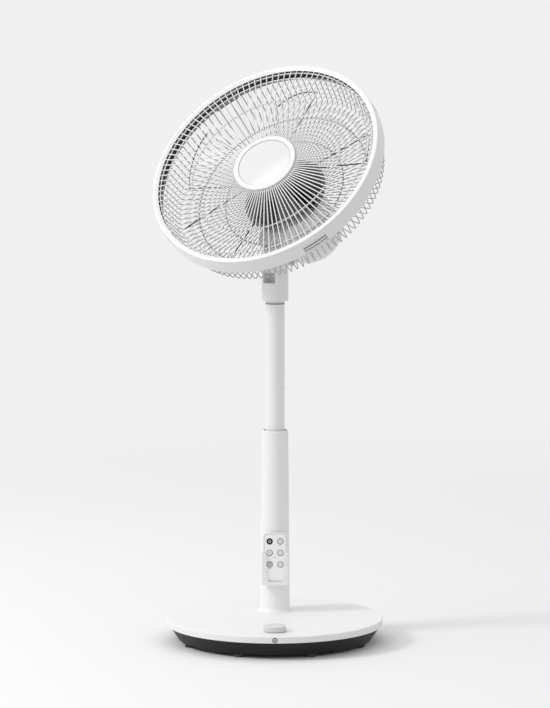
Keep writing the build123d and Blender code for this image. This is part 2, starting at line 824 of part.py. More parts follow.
# Retaining ring in the spindle's groove, open on one side.
with BuildPart() as swing_clip:
    with BuildSketch(neck_plane(clip_bottom)):
        Circle(clip_radius)
        Circle(clip_seat_radius + seat, mode=Mode.SUBTRACT)
        with Locations((0, clip_radius)):
            Rectangle(clip_seat_radius, 2 * clip_radius, mode=Mode.SUBTRACT)
    extrude(amount=clip_thickness)
swing_clip.part.label = "swing_clip"
export_step(swing_clip.part, "parts/swing_clip.step")

with BuildPart() as swing_shaft:
    with BuildSketch(level(floor_top - shaft_in_spindle)):
        Circle(swing_shaft_radius)
    extrude(amount=swing_motor_bottom + shaft_in_motor - floor_top + shaft_in_spindle)
swing_shaft.part.label = "swing_shaft"
export_step(swing_shaft.part, "parts/swing_shaft.step")

# Geared stepper that swings the head; its shaft is held by the spindle, so its body turns with the neck.
with BuildPart() as swing_motor:
    with BuildSketch(neck_plane(swing_motor_bottom)):
        Circle(swing_motor_radius)
    extrude(amount=swing_motor_height)
    with BuildSketch(neck_plane(swing_motor_top - swing_ear)):
        Circle(neck_radius - neck_wall - seat)
    extrude(amount=swing_ear)
    with BuildSketch(neck_plane(swing_motor_bottom)):
        Circle(swing_shaft_radius + seat)
    extrude(amount=shaft_in_motor + shaft_end_gap, mode=Mode.SUBTRACT)
swing_motor.part.label = "swing_motor"
export_step(swing_motor.part, "parts/swing_motor.step")

# Neck: cup over the swing motor, two cheeks above it, rounded about the tilt pin.
with BuildPart() as neck_housing:
    with BuildSketch(neck_plane(neck_bottom)):
        Circle(neck_radius)
    extrude(amount=neck_seam - neck_bottom)
    with BuildSketch(neck_plane(neck_seam)):
        Circle(neck_cap_radius)
    extrude(amount=pivot_height + neck_cap_radius - neck_seam)
    with BuildSketch(Plane(origin=pivot - side_way * cheek_cut, x_dir=ahead, z_dir=side_way * -1)):
        Rectangle(2 * (neck_radius + room), 2 * (pivot_height - neck_bottom))
        with Locations((0, neck_cap_radius + room / 2)):
            Rectangle(2 * (neck_radius + room), 2 * neck_cap_radius + room, mode=Mode.SUBTRACT)
        Circle(neck_cap_radius)
    extrude(amount=-2 * cheek_cut, mode=Mode.INTERSECT)
    with BuildSketch(neck_plane(neck_bottom)):
        Circle(neck_radius - neck_wall)
    extrude(amount=swing_motor_top + seat - neck_bottom, mode=Mode.SUBTRACT)
    with BuildSketch(neck_plane(swing_motor_top - swing_ear - seat - motor_shelf)):
        Circle(neck_radius - neck_wall + room / 2)
        Circle(swing_motor_radius + play, mode=Mode.SUBTRACT)
    extrude(amount=motor_shelf)
    with BuildSketch(neck_plane(slot_floor)):
        with Locations((0, -neck_radius / 2)):
            Rectangle(slot_width, neck_radius)
    extrude(amount=2 * neck_radius + pivot_height, mode=Mode.SUBTRACT)
    with BuildSketch(neck_plane(slot_rear_floor)):
        with Locations((0, (neck_radius - room) / 2)):
            Rectangle(slot_width, neck_radius + room)
    extrude(amount=2 * neck_radius + pivot_height, mode=Mode.SUBTRACT)
    with BuildSketch(pin_plane):
        Circle(pin_radius + seat)
    extrude(amount=-pin_end - seat, mode=Mode.SUBTRACT)
    with BuildSketch(pin_plane):
        Circle(pin_radius + seat)
    extrude(amount=2 * neck_radius, mode=Mode.SUBTRACT)
neck_housing.part.label = "neck_housing"
export_step(neck_housing.part, "parts/neck_housing.step")

with BuildPart() as tilt_pin:
    with BuildSketch(pin_plane.offset(-pin_end)):
        Circle(pin_radius)
    extrude(amount=pin_end + pin_head)
    with BuildSketch(pin_plane.offset(pin_head - pin_slot)):
        Rectangle(pin_slot, 2 * pin_radius + room)
    extrude(amount=2 * pin_slot, mode=Mode.SUBTRACT)
tilt_pin.part.label = "tilt_pin"
export_step(tilt_pin.part, "parts/tilt_pin.step")

# ================================================================== TILT ARM AND MOTOR
# Arm: a saddle under the motor housing, with an eye and a short tail in the neck's slot.
pad_top = axis_rise - pad_drop - seat
with BuildPart() as tilt_arm:
    with BuildSketch(head_side):
        with Locations((0, (pad_top + saddle_start) / 2)):
            Rectangle(2 * pad_half_length, pad_top - saddle_start)
        Circle(arm_round, mode=Mode.SUBTRACT)
    extrude(amount=pad_half_width - room, both=True)
    fillet(tilt_arm.edges().filter_by(Axis(pivot, head_up)), pad_corner)
    with BuildSketch(head_side):
        with Locations((0, pad_top / 2)):
            Rectangle(2 * web_half_length, pad_top)
        Circle(eye_radius)
        with Locations((0, -tail_radius / 2)):
            Rectangle(tail_width, tail_radius)
    extrude(amount=eye_width / 2, both=True)
    with BuildSketch(head_side):
        Circle(pin_radius + seat)
    extrude(amount=eye_width, both=True, mode=Mode.SUBTRACT)
    with BuildSketch(Plane(origin=pivot + head_up * pad_top, x_dir=side_way, z_dir=head_up)):
        with GridLocations(2 * pad_screw_x, 2 * pad_screw_y, 2, 2):
            Circle(screw_radius + seat)
    extrude(amount=-pad_top, mode=Mode.SUBTRACT)
    with BuildSketch(Plane(origin=pivot + head_up * (pad_top - pad_floor), x_dir=side_way, z_dir=head_up)):
        with GridLocations(2 * pad_screw_x, 2 * pad_screw_y, 2, 2):
            Circle(screw_head + play)
    extrude(amount=-pad_top, mode=Mode.SUBTRACT)
tilt_arm.part.label = "tilt_arm"
export_step(tilt_arm.part, "parts/tilt_arm.step")

# Housing: white drum with a bulkhead at its rear and the flat pad that the arm carries.
face_front = back_depth + rear_wire + plate_thickness + 2 * seat
housing_front = face_front + face_thickness + seat
bulkhead_front = housing_split - bulkhead
pad_plane = Plane(origin=pivot + head_up * (pad_top + seat), x_dir=side_way, z_dir=head_up)
with BuildPart() as motor_housing:
    with BuildSketch(head_profile):
        with Locations((housing_radius / 2, -(housing_front + housing_split) / 2)):
            Rectangle(housing_radius, housing_split - housing_front)
    revolve(axis=fan_axis)
    with BuildSketch(pad_plane):
        RectangleRounded(2 * (pad_half_width - room), 2 * pad_half_length, pad_corner)
    extrude(amount=pad_drop - housing_radius + housing_wall + pad_sink)
    with BuildSketch(head_profile):
        with Locations(((housing_radius - housing_wall) / 2, -(housing_front + bulkhead_front) / 2)):
            Rectangle(housing_radius - housing_wall, bulkhead_front - housing_front)
    revolve(axis=fan_axis, mode=Mode.SUBTRACT)
    with BuildSketch(behind(bulkhead_front)):
        Circle(bearing_radius + bearing_wall)
    extrude(amount=bearing_width - room)
    with BuildSketch(behind(bulkhead_front + room)):
        Circle(bearing_radius + seat)
    extrude(amount=bearing_width + room, mode=Mode.SUBTRACT)
    with BuildSketch(behind(housing_split)):
        with PolarLocations(can_post_circle, can_post_count):
            Circle(screw_radius + seat)
        Circle(shaft_radius + room)
    extrude(amount=bulkhead, mode=Mode.SUBTRACT)
    with BuildSketch(behind(housing_split)):
        with PolarLocations(cover_screw_circle, can_post_count, start_angle=cover_screw_angle):
            Circle(well_radius)
    extrude(amount=-(cover_screw_depth - seat - housing_split))
    with BuildSketch(behind(cover_screw_depth - seat)):
        with PolarLocations(cover_screw_circle, can_post_count, start_angle=cover_screw_angle):
            Circle(screw_radius + seat)
    extrude(amount=screw_length, mode=Mode.SUBTRACT)
    with BuildSketch(pad_plane):
        with GridLocations(2 * pad_screw_x, 2 * pad_screw_y, 2, 2):
            Circle(screw_radius + seat)
    extrude(amount=screw_length - pad_floor, mode=Mode.SUBTRACT)
motor_housing.part.label = "motor_housing"
export_step(motor_housing.part, "parts/motor_housing.step")

# Rounded rear cover, with the vents and the wells for its screws.
with BuildPart() as cover_cavity:
    with BuildSketch(head_profile):
        with BuildLine():
            cavity_radius = housing_radius - housing_wall
            cavity_end = housing_end - housing_wall
            Polyline((0, -housing_split + room), (cavity_radius, -housing_split + room))
            Polyline((cavity_radius, -housing_split + room), (cavity_radius, -housing_end + housing_round))
            RadiusArc(
                (cavity_radius, -housing_end + housing_round),
                (housing_radius - housing_round, -cavity_end),
                housing_round - housing_wall,
            )
            Polyline((housing_radius - housing_round, -cavity_end), (0, -cavity_end))
            Polyline((0, -cavity_end), (0, -housing_split + room))
        make_face()
    revolve(axis=fan_axis)
    with BuildSketch(behind(cover_screw_depth)):
        with PolarLocations(cover_screw_circle, can_post_count, start_angle=cover_screw_angle):
            Circle(well_radius)
    extrude(amount=-(housing_end - cover_screw_depth), mode=Mode.SUBTRACT)

with BuildPart() as motor_cover:
    with BuildSketch(head_profile):
        with BuildLine():
            cover_front = -housing_split - seat
            Polyline((0, cover_front), (housing_radius, cover_front))
            Polyline((housing_radius, cover_front), (housing_radius, -housing_end + housing_round))
            RadiusArc(
                (housing_radius, -housing_end + housing_round),
                (housing_radius - housing_round, -housing_end),
                housing_round,
            )
            Polyline((housing_radius - housing_round, -housing_end), (0, -housing_end))
            Polyline((0, -housing_end), (0, cover_front))
        make_face()
    revolve(axis=fan_axis)
    add(cover_cavity.part, mode=Mode.SUBTRACT)
    with BuildSketch(behind(cover_screw_depth + well_floor)):
        with PolarLocations(cover_screw_circle, can_post_count, start_angle=cover_screw_angle):
            Circle(screw_head + play)
    extrude(amount=-(housing_end - cover_screw_depth), mode=Mode.SUBTRACT)
    with BuildSketch(behind(cover_screw_depth)):
        with PolarLocations(cover_screw_circle, can_post_count, start_angle=cover_screw_angle):
            Circle(screw_radius + seat)
    extrude(amount=-(housing_end - cover_screw_depth), mode=Mode.SUBTRACT)
    with BuildSketch(behind(housing_end)):
        with PolarLocations(vent_circle, vent_count):
            SlotOverall(vent_length, vent_width)
    extrude(amount=housing_wall + room, mode=Mode.SUBTRACT)
motor_cover.part.label = "motor_cover"
export_step(motor_cover.part, "parts/motor_cover.step")

# Motor can: dark face disc, threaded boss for the guard nut, sleeve round the stator and three posts.
boss_front = face_front - nut_thickness - thread_proud
with BuildPart() as motor_can:
    with BuildSketch(behind(face_front + face_thickness)):
        Circle(face_radius)
    extrude(amount=face_thickness)
    with BuildSketch(behind(face_front)):
        Circle(thread_radius)
    extrude(amount=face_front - boss_front)
    with BuildSketch(behind(bulkhead_front - seat)):
        Circle(can_radius)
        with PolarLocations(can_post_circle, can_post_count):
            Circle(can_post_radius)
    extrude(amount=bulkhead_front - seat - face_front - face_thickness)
    with BuildSketch(behind(bulkhead_front)):
        Circle(can_radius - can_wall)
    extrude(amount=bulkhead_front - face_front - face_thickness, mode=Mode.SUBTRACT)
    with BuildSketch(behind(face_front + face_thickness)):
        Circle(bearing_radius + seat)
    extrude(amount=bearing_width + room, mode=Mode.SUBTRACT)
    with BuildSketch(behind(face_front)):
        Circle(shaft_radius + room)
    extrude(amount=face_front - boss_front, mode=Mode.SUBTRACT)
    with BuildSketch(behind(bulkhead_front)):
        with PolarLocations(can_post_circle, can_post_count):
            Circle(screw_radius + seat)
    extrude(amount=screw_length, mode=Mode.SUBTRACT)
motor_can.part.label = "motor_can"
export_step(motor_can.part, "parts/motor_can.step")

# Stator: laminated ring with twelve slots for the windings.
stator_middle = (stator_bore + can_radius - can_wall) / 2
with BuildPart() as stator:
    with BuildSketch(behind(stator_start + stator_length)):
        Circle(can_radius - can_wall - seat)
        Circle(stator_bore, mode=Mode.SUBTRACT)
        with PolarLocations(stator_middle, stator_slots):
            SlotOverall(stator_slot_length, stator_slot_width, mode=Mode.SUBTRACT)
    extrude(amount=stator_length)
stator.part.label = "stator"
export_step(stator.part, "parts/stator.step")

with BuildPart() as rotor:
    with BuildSketch(behind(stator_start + stator_length)):
        Circle(rotor_radius)
        Circle(shaft_radius + seat, mode=Mode.SUBTRACT)
    extrude(amount=stator_length)
rotor.part.label = "rotor"
export_step(rotor.part, "parts/rotor.step")

front_bearing = face_front + face_thickness - bearing_width
rear_bearing = bulkhead_front - bearing_width + room
with BuildPart() as motor_bearings:
    for bearing_front in (front_bearing, rear_bearing):
        with BuildSketch(behind(bearing_front + bearing_width)):
            Circle(bearing_radius)
            Circle(shaft_radius + seat, mode=Mode.SUBTRACT)
        extrude(amount=bearing_width)
motor_bearings.part.label = "motor_bearings"
export_step(motor_bearings.part, "parts/motor_bearings.step")

with BuildPart() as fan_shaft:
    with BuildSketch(behind(rear_bearing + bearing_width)):
        Circle(shaft_radius)
    extrude(amount=rear_bearing + bearing_width - shaft_front)
    with BuildSketch(behind(hub_front)):
        Rectangle(2 * shaft_radius, 2 * shaft_radius)
        Circle(shaft_radius - thread_relief, mode=Mode.SUBTRACT)
    extrude(amount=hub_front - shaft_front, mode=Mode.SUBTRACT)
fan_shaft.part.label = "fan_shaft"
export_step(fan_shaft.part, "parts/fan_shaft.step")

# Nut that clamps the rear guard on the motor's face, with grip scallops.
with BuildPart() as guard_nut:
    with BuildSketch(behind(face_front - plate_thickness - 2 * seat)):
        Circle(nut_radius)
        Circle(thread_radius + seat, mode=Mode.SUBTRACT)
        with PolarLocations(nut_radius + scallop_offset, scallop_count):
            Circle(scallop_radius, mode=Mode.SUBTRACT)
    extrude(amount=nut_thickness)
guard_nut.part.label = "guard_nut"
export_step(guard_nut.part, "parts/guard_nut.step")

# ================================================================== FAN BLADES
blade_middle = blade_start + blade_sweep / 2
blade_root = hub_radius - blade_sink
blade_end = blade_tip + blade_trim
blade_way = side_way * cos(radians(blade_middle)) + head_up * sin(radians(blade_middle))
across_way = head_up * cos(radians(blade_middle)) - side_way * sin(radians(blade_middle))


blade_lift = blade_thickness / 2
blade_middle_depth = (blade_front + blade_rear) / 2


def blade_plane(distance):
    """Plane square to the blade's middle line at a distance from the fan axis."""
    return Plane(origin=hoop_centre + blade_way * distance, x_dir=across_way, z_dir=blade_way)


# One blade: a thin curved band, lofted from inside the hub to beyond the tip and trimmed to a circle.
with BuildPart() as blade:
    for distance, sag in ((blade_root, blade_root_sag), (blade_end, blade_tip_sag)):
        half = distance * tan(radians(blade_sweep / 2))
        with BuildSketch(blade_plane(distance)):
            with BuildLine():
                front_low = (-half, -blade_front - blade_lift)
                front_high = (-half, -blade_front + blade_lift)
                rear_low = (half, -blade_rear - blade_lift)
                rear_high = (half, -blade_rear + blade_lift)
                ThreePointArc(front_high, (0, -blade_middle_depth + sag + blade_lift), rear_high)
                Line(rear_high, rear_low)
                ThreePointArc(rear_low, (0, -blade_middle_depth + sag - blade_lift), front_low)
                Line(front_low, front_high)
            make_face()
    loft()
    with BuildSketch(behind(blade_rear + blade_margin)):
        Circle(blade_tip)
        Circle(hub_radius - room, mode=Mode.SUBTRACT)
    extrude(amount=blade_rear, mode=Mode.INTERSECT)

with BuildPart() as fan_blades:
    with BuildSketch(head_profile):
        with BuildLine():
            Polyline(
                (0, -hub_front),
                (hub_radius - hub_chamfer, -hub_front),
                (hub_radius, -hub_front - hub_chamfer),
                (hub_radius, -hub_rear),
                (hub_radius - hub_wall, -hub_rear),
                (hub_radius - hub_wall, -hub_front - hub_chamfer - room),
                (hub_radius - hub_wall - hub_chamfer + room, -hub_front - hub_wall),
                (hub_boss, -hub_front - hub_wall),
                (hub_boss, -hub_rear + hub_boss_inset),
                (0, -hub_rear + hub_boss_inset),
                (0, -hub_front),
            )
        make_face()
    revolve(axis=fan_axis)
    for turn in range(blade_count):
        add(blade.part.rotate(fan_axis, turn * 360 / blade_count))
    with BuildSketch(behind(hub_rear)):
        Circle(shaft_radius + seat)
    extrude(amount=hub_rear, mode=Mode.SUBTRACT)
fan_blades.part.label = "fan_blades"
export_step(fan_blades.part, "parts/fan_blades.step")

with BuildPart() as spinner_nut:
    with BuildSketch(behind(hub_front - seat)):
        Circle(spinner_radius)
    extrude(amount=spinner_height)
    fillet(spinner_nut.faces().sort_by(fan_axis)[-1].edges(), spinner_round)
    with BuildSketch(behind(hub_front - seat)):
        Circle(shaft_radius - thread_relief + seat)
    extrude(amount=spinner_height, mode=Mode.SUBTRACT)
spinner_nut.part.label = "spinner_nut"
export_step(spinner_nut.part, "parts/spinner_nut.step")

# ================================================================== HOOP AND LATCHES
hoop_inner = hoop_radius - hoop_wall
front_wire_depth = lip_thickness + front_wire + wire_gap
front_rim_depth = front_wire_depth + front_wire + seat + rim_wire
front_lug_depth = front_rim_depth + rim_wire + wire_gap / 2
rear_lug_depth = rear_rim_depth - rear_rim_wire - wire_gap - lug_depth
hinge_radius = hoop_inner + latch_inset
hinge_depth = latch_start + room
latch_inner = hoop_inner + latch_inset
latch_outer = latch_inner + latch_thickness - latch_inset
slot_length = 2 * hoop_radius * sin(radians(latch_arc / 2))


def radial_profile(angle):
    """Plane through the fan axis: X outward at an angle from the side direction, Y toward the front."""
    outward = side_way * cos(radians(angle)) + head_up * sin(radians(angle))
    around = head_up * cos(radians(angle)) - side_way * sin(radians(angle))
    return Plane(origin=hoop_centre, x_dir=outward, z_dir=around * -1)


# Hoop: band with an inward lip at the front, lugs that hold both guards, and four latch slots.
with BuildPart() as hoop:
    with BuildSketch(head_profile):
        with BuildLine():
            Polyline(
                (hoop_radius - hoop_round, 0),
                (hoop_radius - lip_land, 0),
                (lip_radius, -lip_slope),
                (lip_radius, -lip_thickness),
                (hoop_inner, -lip_thickness),
                (hoop_inner, -hoop_depth),
                (hoop_radius, -hoop_depth),
                (hoop_radius, -hoop_round),
            )
            RadiusArc((hoop_radius, -hoop_round), (hoop_radius - hoop_round, 0), -hoop_round)
        make_face()
    revolve(axis=fan_axis)
    for lug_place in (front_lug_depth, rear_lug_depth):
        for turn in range(lug_count):
            with BuildSketch(radial_profile(lug_first + turn * 360 / lug_count - lug_arc / 2)):
                with Locations((hoop_inner - (lug_reach - room) / 2, -lug_place - lug_depth / 2)):
                    Rectangle(lug_reach + room, lug_depth)
            revolve(axis=fan_axis, revolution_arc=lug_arc)
    for angle in latch_angles:
        with BuildSketch(radial_profile(angle)):
            with Locations((hoop_radius - hoop_wall / 2, -slot_start - hoop_depth / 2)):
                Rectangle(3 * hoop_wall, hoop_depth)
        extrude(amount=slot_length / 2, both=True, mode=Mode.SUBTRACT)
        with BuildSketch(radial_profile(angle)):
            with Locations((hinge_radius, -hinge_depth)):
                Circle(latch_pin_radius + seat)
        extrude(amount=slot_length / 2 + pin_overhang + seat, both=True, mode=Mode.SUBTRACT)
hoop.part.label = "hoop"
export_step(hoop.part, "parts/hoop.step")

with BuildPart() as latch_pins:
    for angle in latch_angles:
        with BuildSketch(radial_profile(angle)):
            with Locations((hinge_radius, -hinge_depth)):
                Circle(latch_pin_radius)
        extrude(amount=slot_length / 2 + pin_overhang, both=True)
latch_pins.part.label = "latch_pins"
export_step(latch_pins.part, "parts/latch_pins.step")

# Latch: curved plate with grip ridges, a barrel on its hinge pin and a hook behind the rear guard's rim.
latch_half = latch_arc / 2 - latch_side_gap
latch_edge = radial_profile(latch_angles[0] - latch_half)
with BuildPart() as latch_1:
    with BuildSketch(latch_edge):
        with BuildLine():
            Polyline(
                (latch_inner, -hinge_depth),
                (latch_inner, -latch_end + hook_thickness),
                (latch_inner - latch_hook, -latch_end + hook_thickness),
                (latch_inner - latch_hook, -latch_end),
                (latch_outer, -latch_end),
                (latch_outer, -hinge_depth),
                (latch_inner, -hinge_depth),
            )
        make_face()
        with Locations(*[(latch_outer, -depth) for depth in ridge_depths]):
            Rectangle(ridge_height, ridge_width)
    revolve(axis=fan_axis, revolution_arc=2 * latch_half)
    with BuildSketch(radial_profile(latch_angles[0])):
        with Locations((hinge_radius, -hinge_depth)):
            Circle(barrel_radius)
    extrude(amount=slot_length / 2 - barrel_gap, both=True)
    with BuildSketch(radial_profile(latch_angles[0])):
        with Locations((hinge_radius, -hinge_depth)):
            Circle(latch_pin_radius + seat)
    extrude(amount=slot_length, both=True, mode=Mode.SUBTRACT)
latch_1.part.label = "latch_1"
export_step(latch_1.part, "parts/latch_1.step")

with BuildPart() as latch_2:
    add(latch_1.part.rotate(fan_axis, 90))
latch_2.part.label = "latch_2"
export_step(latch_2.part, "parts/latch_2.step")

with BuildPart() as latch_3:
    add(latch_1.part.rotate(fan_axis, 180))
latch_3.part.label = "latch_3"
export_step(latch_3.part, "parts/latch_3.step")

with BuildPart() as latch_4:
    add(latch_1.part.rotate(fan_axis, 270))
latch_4.part.label = "latch_4"
export_step(latch_4.part, "parts/latch_4.step")

# ================================================================== WIRE GUARDS
# Every wire and ring stays its own solid: the spot welds are a hair of clearance.
with BuildPart() as front_spoke:
    with BuildSketch(Plane(origin=(wire_inner, 0, -front_wire_depth), z_dir=(1, 0, 0))):
        Circle(front_wire)
    extrude(amount=hoop_inner - wire_end_gap - wire_inner)

ring_depth = front_wire_depth + front_wire + seat + ring_wire
with BuildPart() as front_rings:
    with BuildSketch(Plane.XZ):
        with Locations((cap_ring_radius - inner_ring_inset, -ring_depth)):
            Circle(ring_wire)
        with Locations(*[(radius, -ring_depth) for radius in front_ring_radii]):
            Circle(ring_wire)
        with Locations((hoop_inner - rim_wire - wire_gap / 2, -front_rim_depth)):
            Circle(rim_wire)
    revolve(axis=Axis.Z)

with BuildPart(head) as front_guard:
    with PolarLocations(0, wire_count):
        add(front_spoke.part)
    add(front_rings.part)
front_guard.part.label = "front_guard"
export_step(front_guard.part, "parts/front_guard.step")

# Rear guard: each wire runs back along the hoop, bends at the basket's shoulder and ends at the motor.
rear_rim_radius = hoop_inner - rear_rim_wire - rim_gap
rear_outer = rear_rim_radius - rear_rim_wire - rear_wire - seat
plate_middle_depth = back_depth + rear_wire + seat + plate_thickness / 2
with BuildPart() as rear_spoke:
    with BuildLine(Plane.XZ) as rear_path:
        FilletPolyline(
            (rear_outer, -rear_rim_depth + rear_rim_wire),
            (basket_radius, -basket_depth),
            (back_inner, -back_depth),
            radius=basket_bend,
        )
    with BuildSketch(Plane(origin=rear_path.line @ 0, z_dir=rear_path.line % 0)):
        Circle(rear_wire)
    sweep()

back_slope = (back_depth - basket_depth) / (basket_radius - back_inner)
ring_step = (rear_wire + seat + back_ring_wire) * sqrt(1 + back_slope**2)


def back_ring_place(radius):
    """Centre of a ring that touches the backs of the rear wires."""
    return (radius, -(basket_depth + (basket_radius - radius) * back_slope) - ring_step)


with BuildPart() as rear_rings:
    with BuildSketch(Plane.XZ):
        with Locations((rear_rim_radius, -rear_rim_depth)):
            Circle(rear_rim_wire)
        with Locations(*[back_ring_place(radius) for radius in back_ring_radii]):
            Circle(back_ring_wire)
        with Locations(((plate_radius + plate_hole) / 2, -plate_middle_depth)):
            Rectangle(plate_radius - plate_hole, plate_thickness)
    revolve(axis=Axis.Z)

with BuildPart(head) as rear_guard:
    with PolarLocations(0, wire_count):
        add(rear_spoke.part)
    add(rear_rings.part)
rear_guard.part.label = "rear_guard"
export_step(rear_guard.part, "parts/rear_guard.step")

# ================================================================== CENTRE CAP
cap_rear = front_wire_depth - front_wire - seat
cap_back_front = ring_depth + ring_wire + seat
with BuildPart() as cap_ring:
    with BuildSketch(head_profile):
        with BuildLine():
            Polyline(
                (0, -cap_rear),
                (cap_ring_radius, -cap_rear),
                (cap_ring_radius, -cap_edge),
                (cap_ring_radius - cap_chamfer, -cap_face),
                (badge_radius + cap_chamfer, -cap_face),
                (badge_radius + seat, -cap_lip),
                (badge_radius + seat, -badge_floor),
                (0, -badge_floor),
                (0, -cap_rear),
            )
        make_face()
    revolve(axis=fan_axis)
    with BuildSketch(behind(cap_back_front - seat)):
        with PolarLocations(cap_screw_circle, can_post_count, start_angle=cap_screw_angle):
            Circle(can_post_radius)
    extrude(amount=cap_back_front - seat - cap_rear)
    with BuildSketch(behind(cap_back_front)):
        with PolarLocations(cap_screw_circle, can_post_count, start_angle=cap_screw_angle):
            Circle(screw_radius + seat)
    extrude(amount=screw_length - cap_back_thickness + 2 * seat, mode=Mode.SUBTRACT)
cap_ring.part.label = "cap_ring"
export_step(cap_ring.part, "parts/cap_ring.step")

# Plain domed badge in the cap's recess: a slice off a large ball.
ball_radius = (badge_radius**2 + badge_dome**2) / (2 * badge_dome)
with BuildPart(behind(badge_edge - badge_dome + ball_radius)) as cap_badge:
    Sphere(ball_radius)
    with BuildSketch(behind(badge_floor - seat)):
        Circle(badge_radius)
    extrude(amount=badge_floor, mode=Mode.INTERSECT)
cap_badge.part.label = "cap_badge"
export_step(cap_badge.part, "parts/cap_badge.step")

with BuildPart() as cap_back:
    with BuildSketch(behind(cap_back_front + cap_back_thickness)):
        Circle(cap_ring_radius)
        with PolarLocations(cap_screw_circle, can_post_count, start_angle=cap_screw_angle):
            Circle(screw_radius + seat, mode=Mode.SUBTRACT)
    extrude(amount=cap_back_thickness)
cap_back.part.label = "cap_back"
export_step(cap_back.part, "parts/cap_back.step")

# ================================================================== REMOTE AND HOLDER
remote_back_y = remote_face_y + remote_thickness
remote_middle = remote_foot + remote_length / 2
face_plane = Plane(origin=(0, remote_face_y, remote_middle), x_dir=(1, 0, 0), z_dir=(0, -1, 0))
key_top = remote_length / 2 - key_top_inset
key_rows = (key_top, key_top - key_pitch_z, key_top - 2 * key_pitch_z)
key_places = [(x, z) for z in key_rows for x in (-key_pitch_x / 2, key_pitch_x / 2)]
inner_width = remote_width - 2 * remote_wall
inner_length = remote_length - 2 * remote_wall
inner_corner = remote_corner - remote_wall
with BuildPart() as remote_case:
    with BuildSketch(face_plane):
        RectangleRounded(remote_width, remote_length, remote_corner)
    extrude(amount=-remote_thickness)
    fillet(remote_case.faces().sort_by(Axis.Y)[0].edges(), remote_round)
    with BuildSketch(face_plane.offset(-remote_wall)):
        RectangleRounded(inner_width, inner_length, inner_corner)
    extrude(amount=-remote_thickness, mode=Mode.SUBTRACT)
    with BuildSketch(face_plane.offset(room)):
        with Locations(*key_places):
            Circle(key_radius + key_gap)
    extrude(amount=-remote_wall - 1.5 * room, mode=Mode.SUBTRACT)
remote_case.part.label = "remote_case"
export_step(remote_case.part, "parts/remote_case.step")

with BuildPart() as remote_back:
    with BuildSketch(face_plane.offset(-remote_thickness)):
        RectangleRounded(inner_width - 2 * seat, inner_length - 2 * seat, inner_corner - seat)
    extrude(amount=back_plate)
remote_back.part.label = "remote_back"
export_step(remote_back.part, "parts/remote_back.step")

board_face = remote_wall + key_clear + key_flange + key_travel + 2 * key_clear
with BuildPart() as remote_board:
    with BuildSketch(face_plane.offset(-board_face)):
        RectangleRounded(inner_width - room, inner_length - room, remote_board_corner)
    extrude(amount=-remote_board_thickness)
    with BuildSketch(face_plane.offset(-board_face)):
        with Locations((0, inner_length / 2 - led_inset)):
            Rectangle(led_width, led_depth)
    extrude(amount=led_height)
remote_board.part.label = "remote_board"
export_step(remote_board.part, "parts/remote_board.step")

coin_face = board_face + remote_board_thickness + seat
with BuildPart() as coin_cell:
    with BuildSketch(face_plane.offset(-coin_face)):
        with Locations((0, -remote_length / 4)):
            Circle(coin_radius)
    extrude(amount=-(remote_thickness - back_plate - seat - coin_face))
coin_cell.part.label = "coin_cell"
export_step(coin_cell.part, "parts/coin_cell.step")


# Keys: a round cap through the case's face, kept in by a rim behind it.
key_depth = key_stand + remote_wall + key_clear
power_key_plane = Plane(
    origin=(key_places[0][0], remote_face_y - key_stand, remote_middle + key_places[0][1]),
    x_dir=(1, 0, 0),
    z_dir=(0, -1, 0),
)
with BuildPart() as power_key:
    with BuildSketch(power_key_plane):
        Circle(key_radius)
    extrude(amount=-key_depth)
    fillet(power_key.faces().sort_by(Axis.Y)[0].edges(), key_round)
    with BuildSketch(power_key_plane.offset(-key_depth)):
        Circle(key_radius + key_flange_reach)
    extrude(amount=-key_flange)
power_key.part.label = "power_key"
export_step(power_key.part, "parts/power_key.step")

with BuildPart() as key_2:
    add(power_key.part.translate((key_pitch_x, 0, 0)))
key_2.part.label = "key_2"
export_step(key_2.part, "parts/key_2.step")

with BuildPart() as key_3:
    add(power_key.part.translate((0, 0, -key_pitch_z)))
key_3.part.label = "key_3"
export_step(key_3.part, "parts/key_3.step")

with BuildPart() as key_4:
    add(power_key.part.translate((key_pitch_x, 0, -key_pitch_z)))
key_4.part.label = "key_4"
export_step(key_4.part, "parts/key_4.step")

with BuildPart() as key_5:
    add(power_key.part.translate((0, 0, -2 * key_pitch_z)))
key_5.part.label = "key_5"
export_step(key_5.part, "parts/key_5.step")

with BuildPart() as key_6:
    add(power_key.part.translate((key_pitch_x, 0, -2 * key_pitch_z)))
key_6.part.label = "key_6"
export_step(key_6.part, "parts/key_6.step")

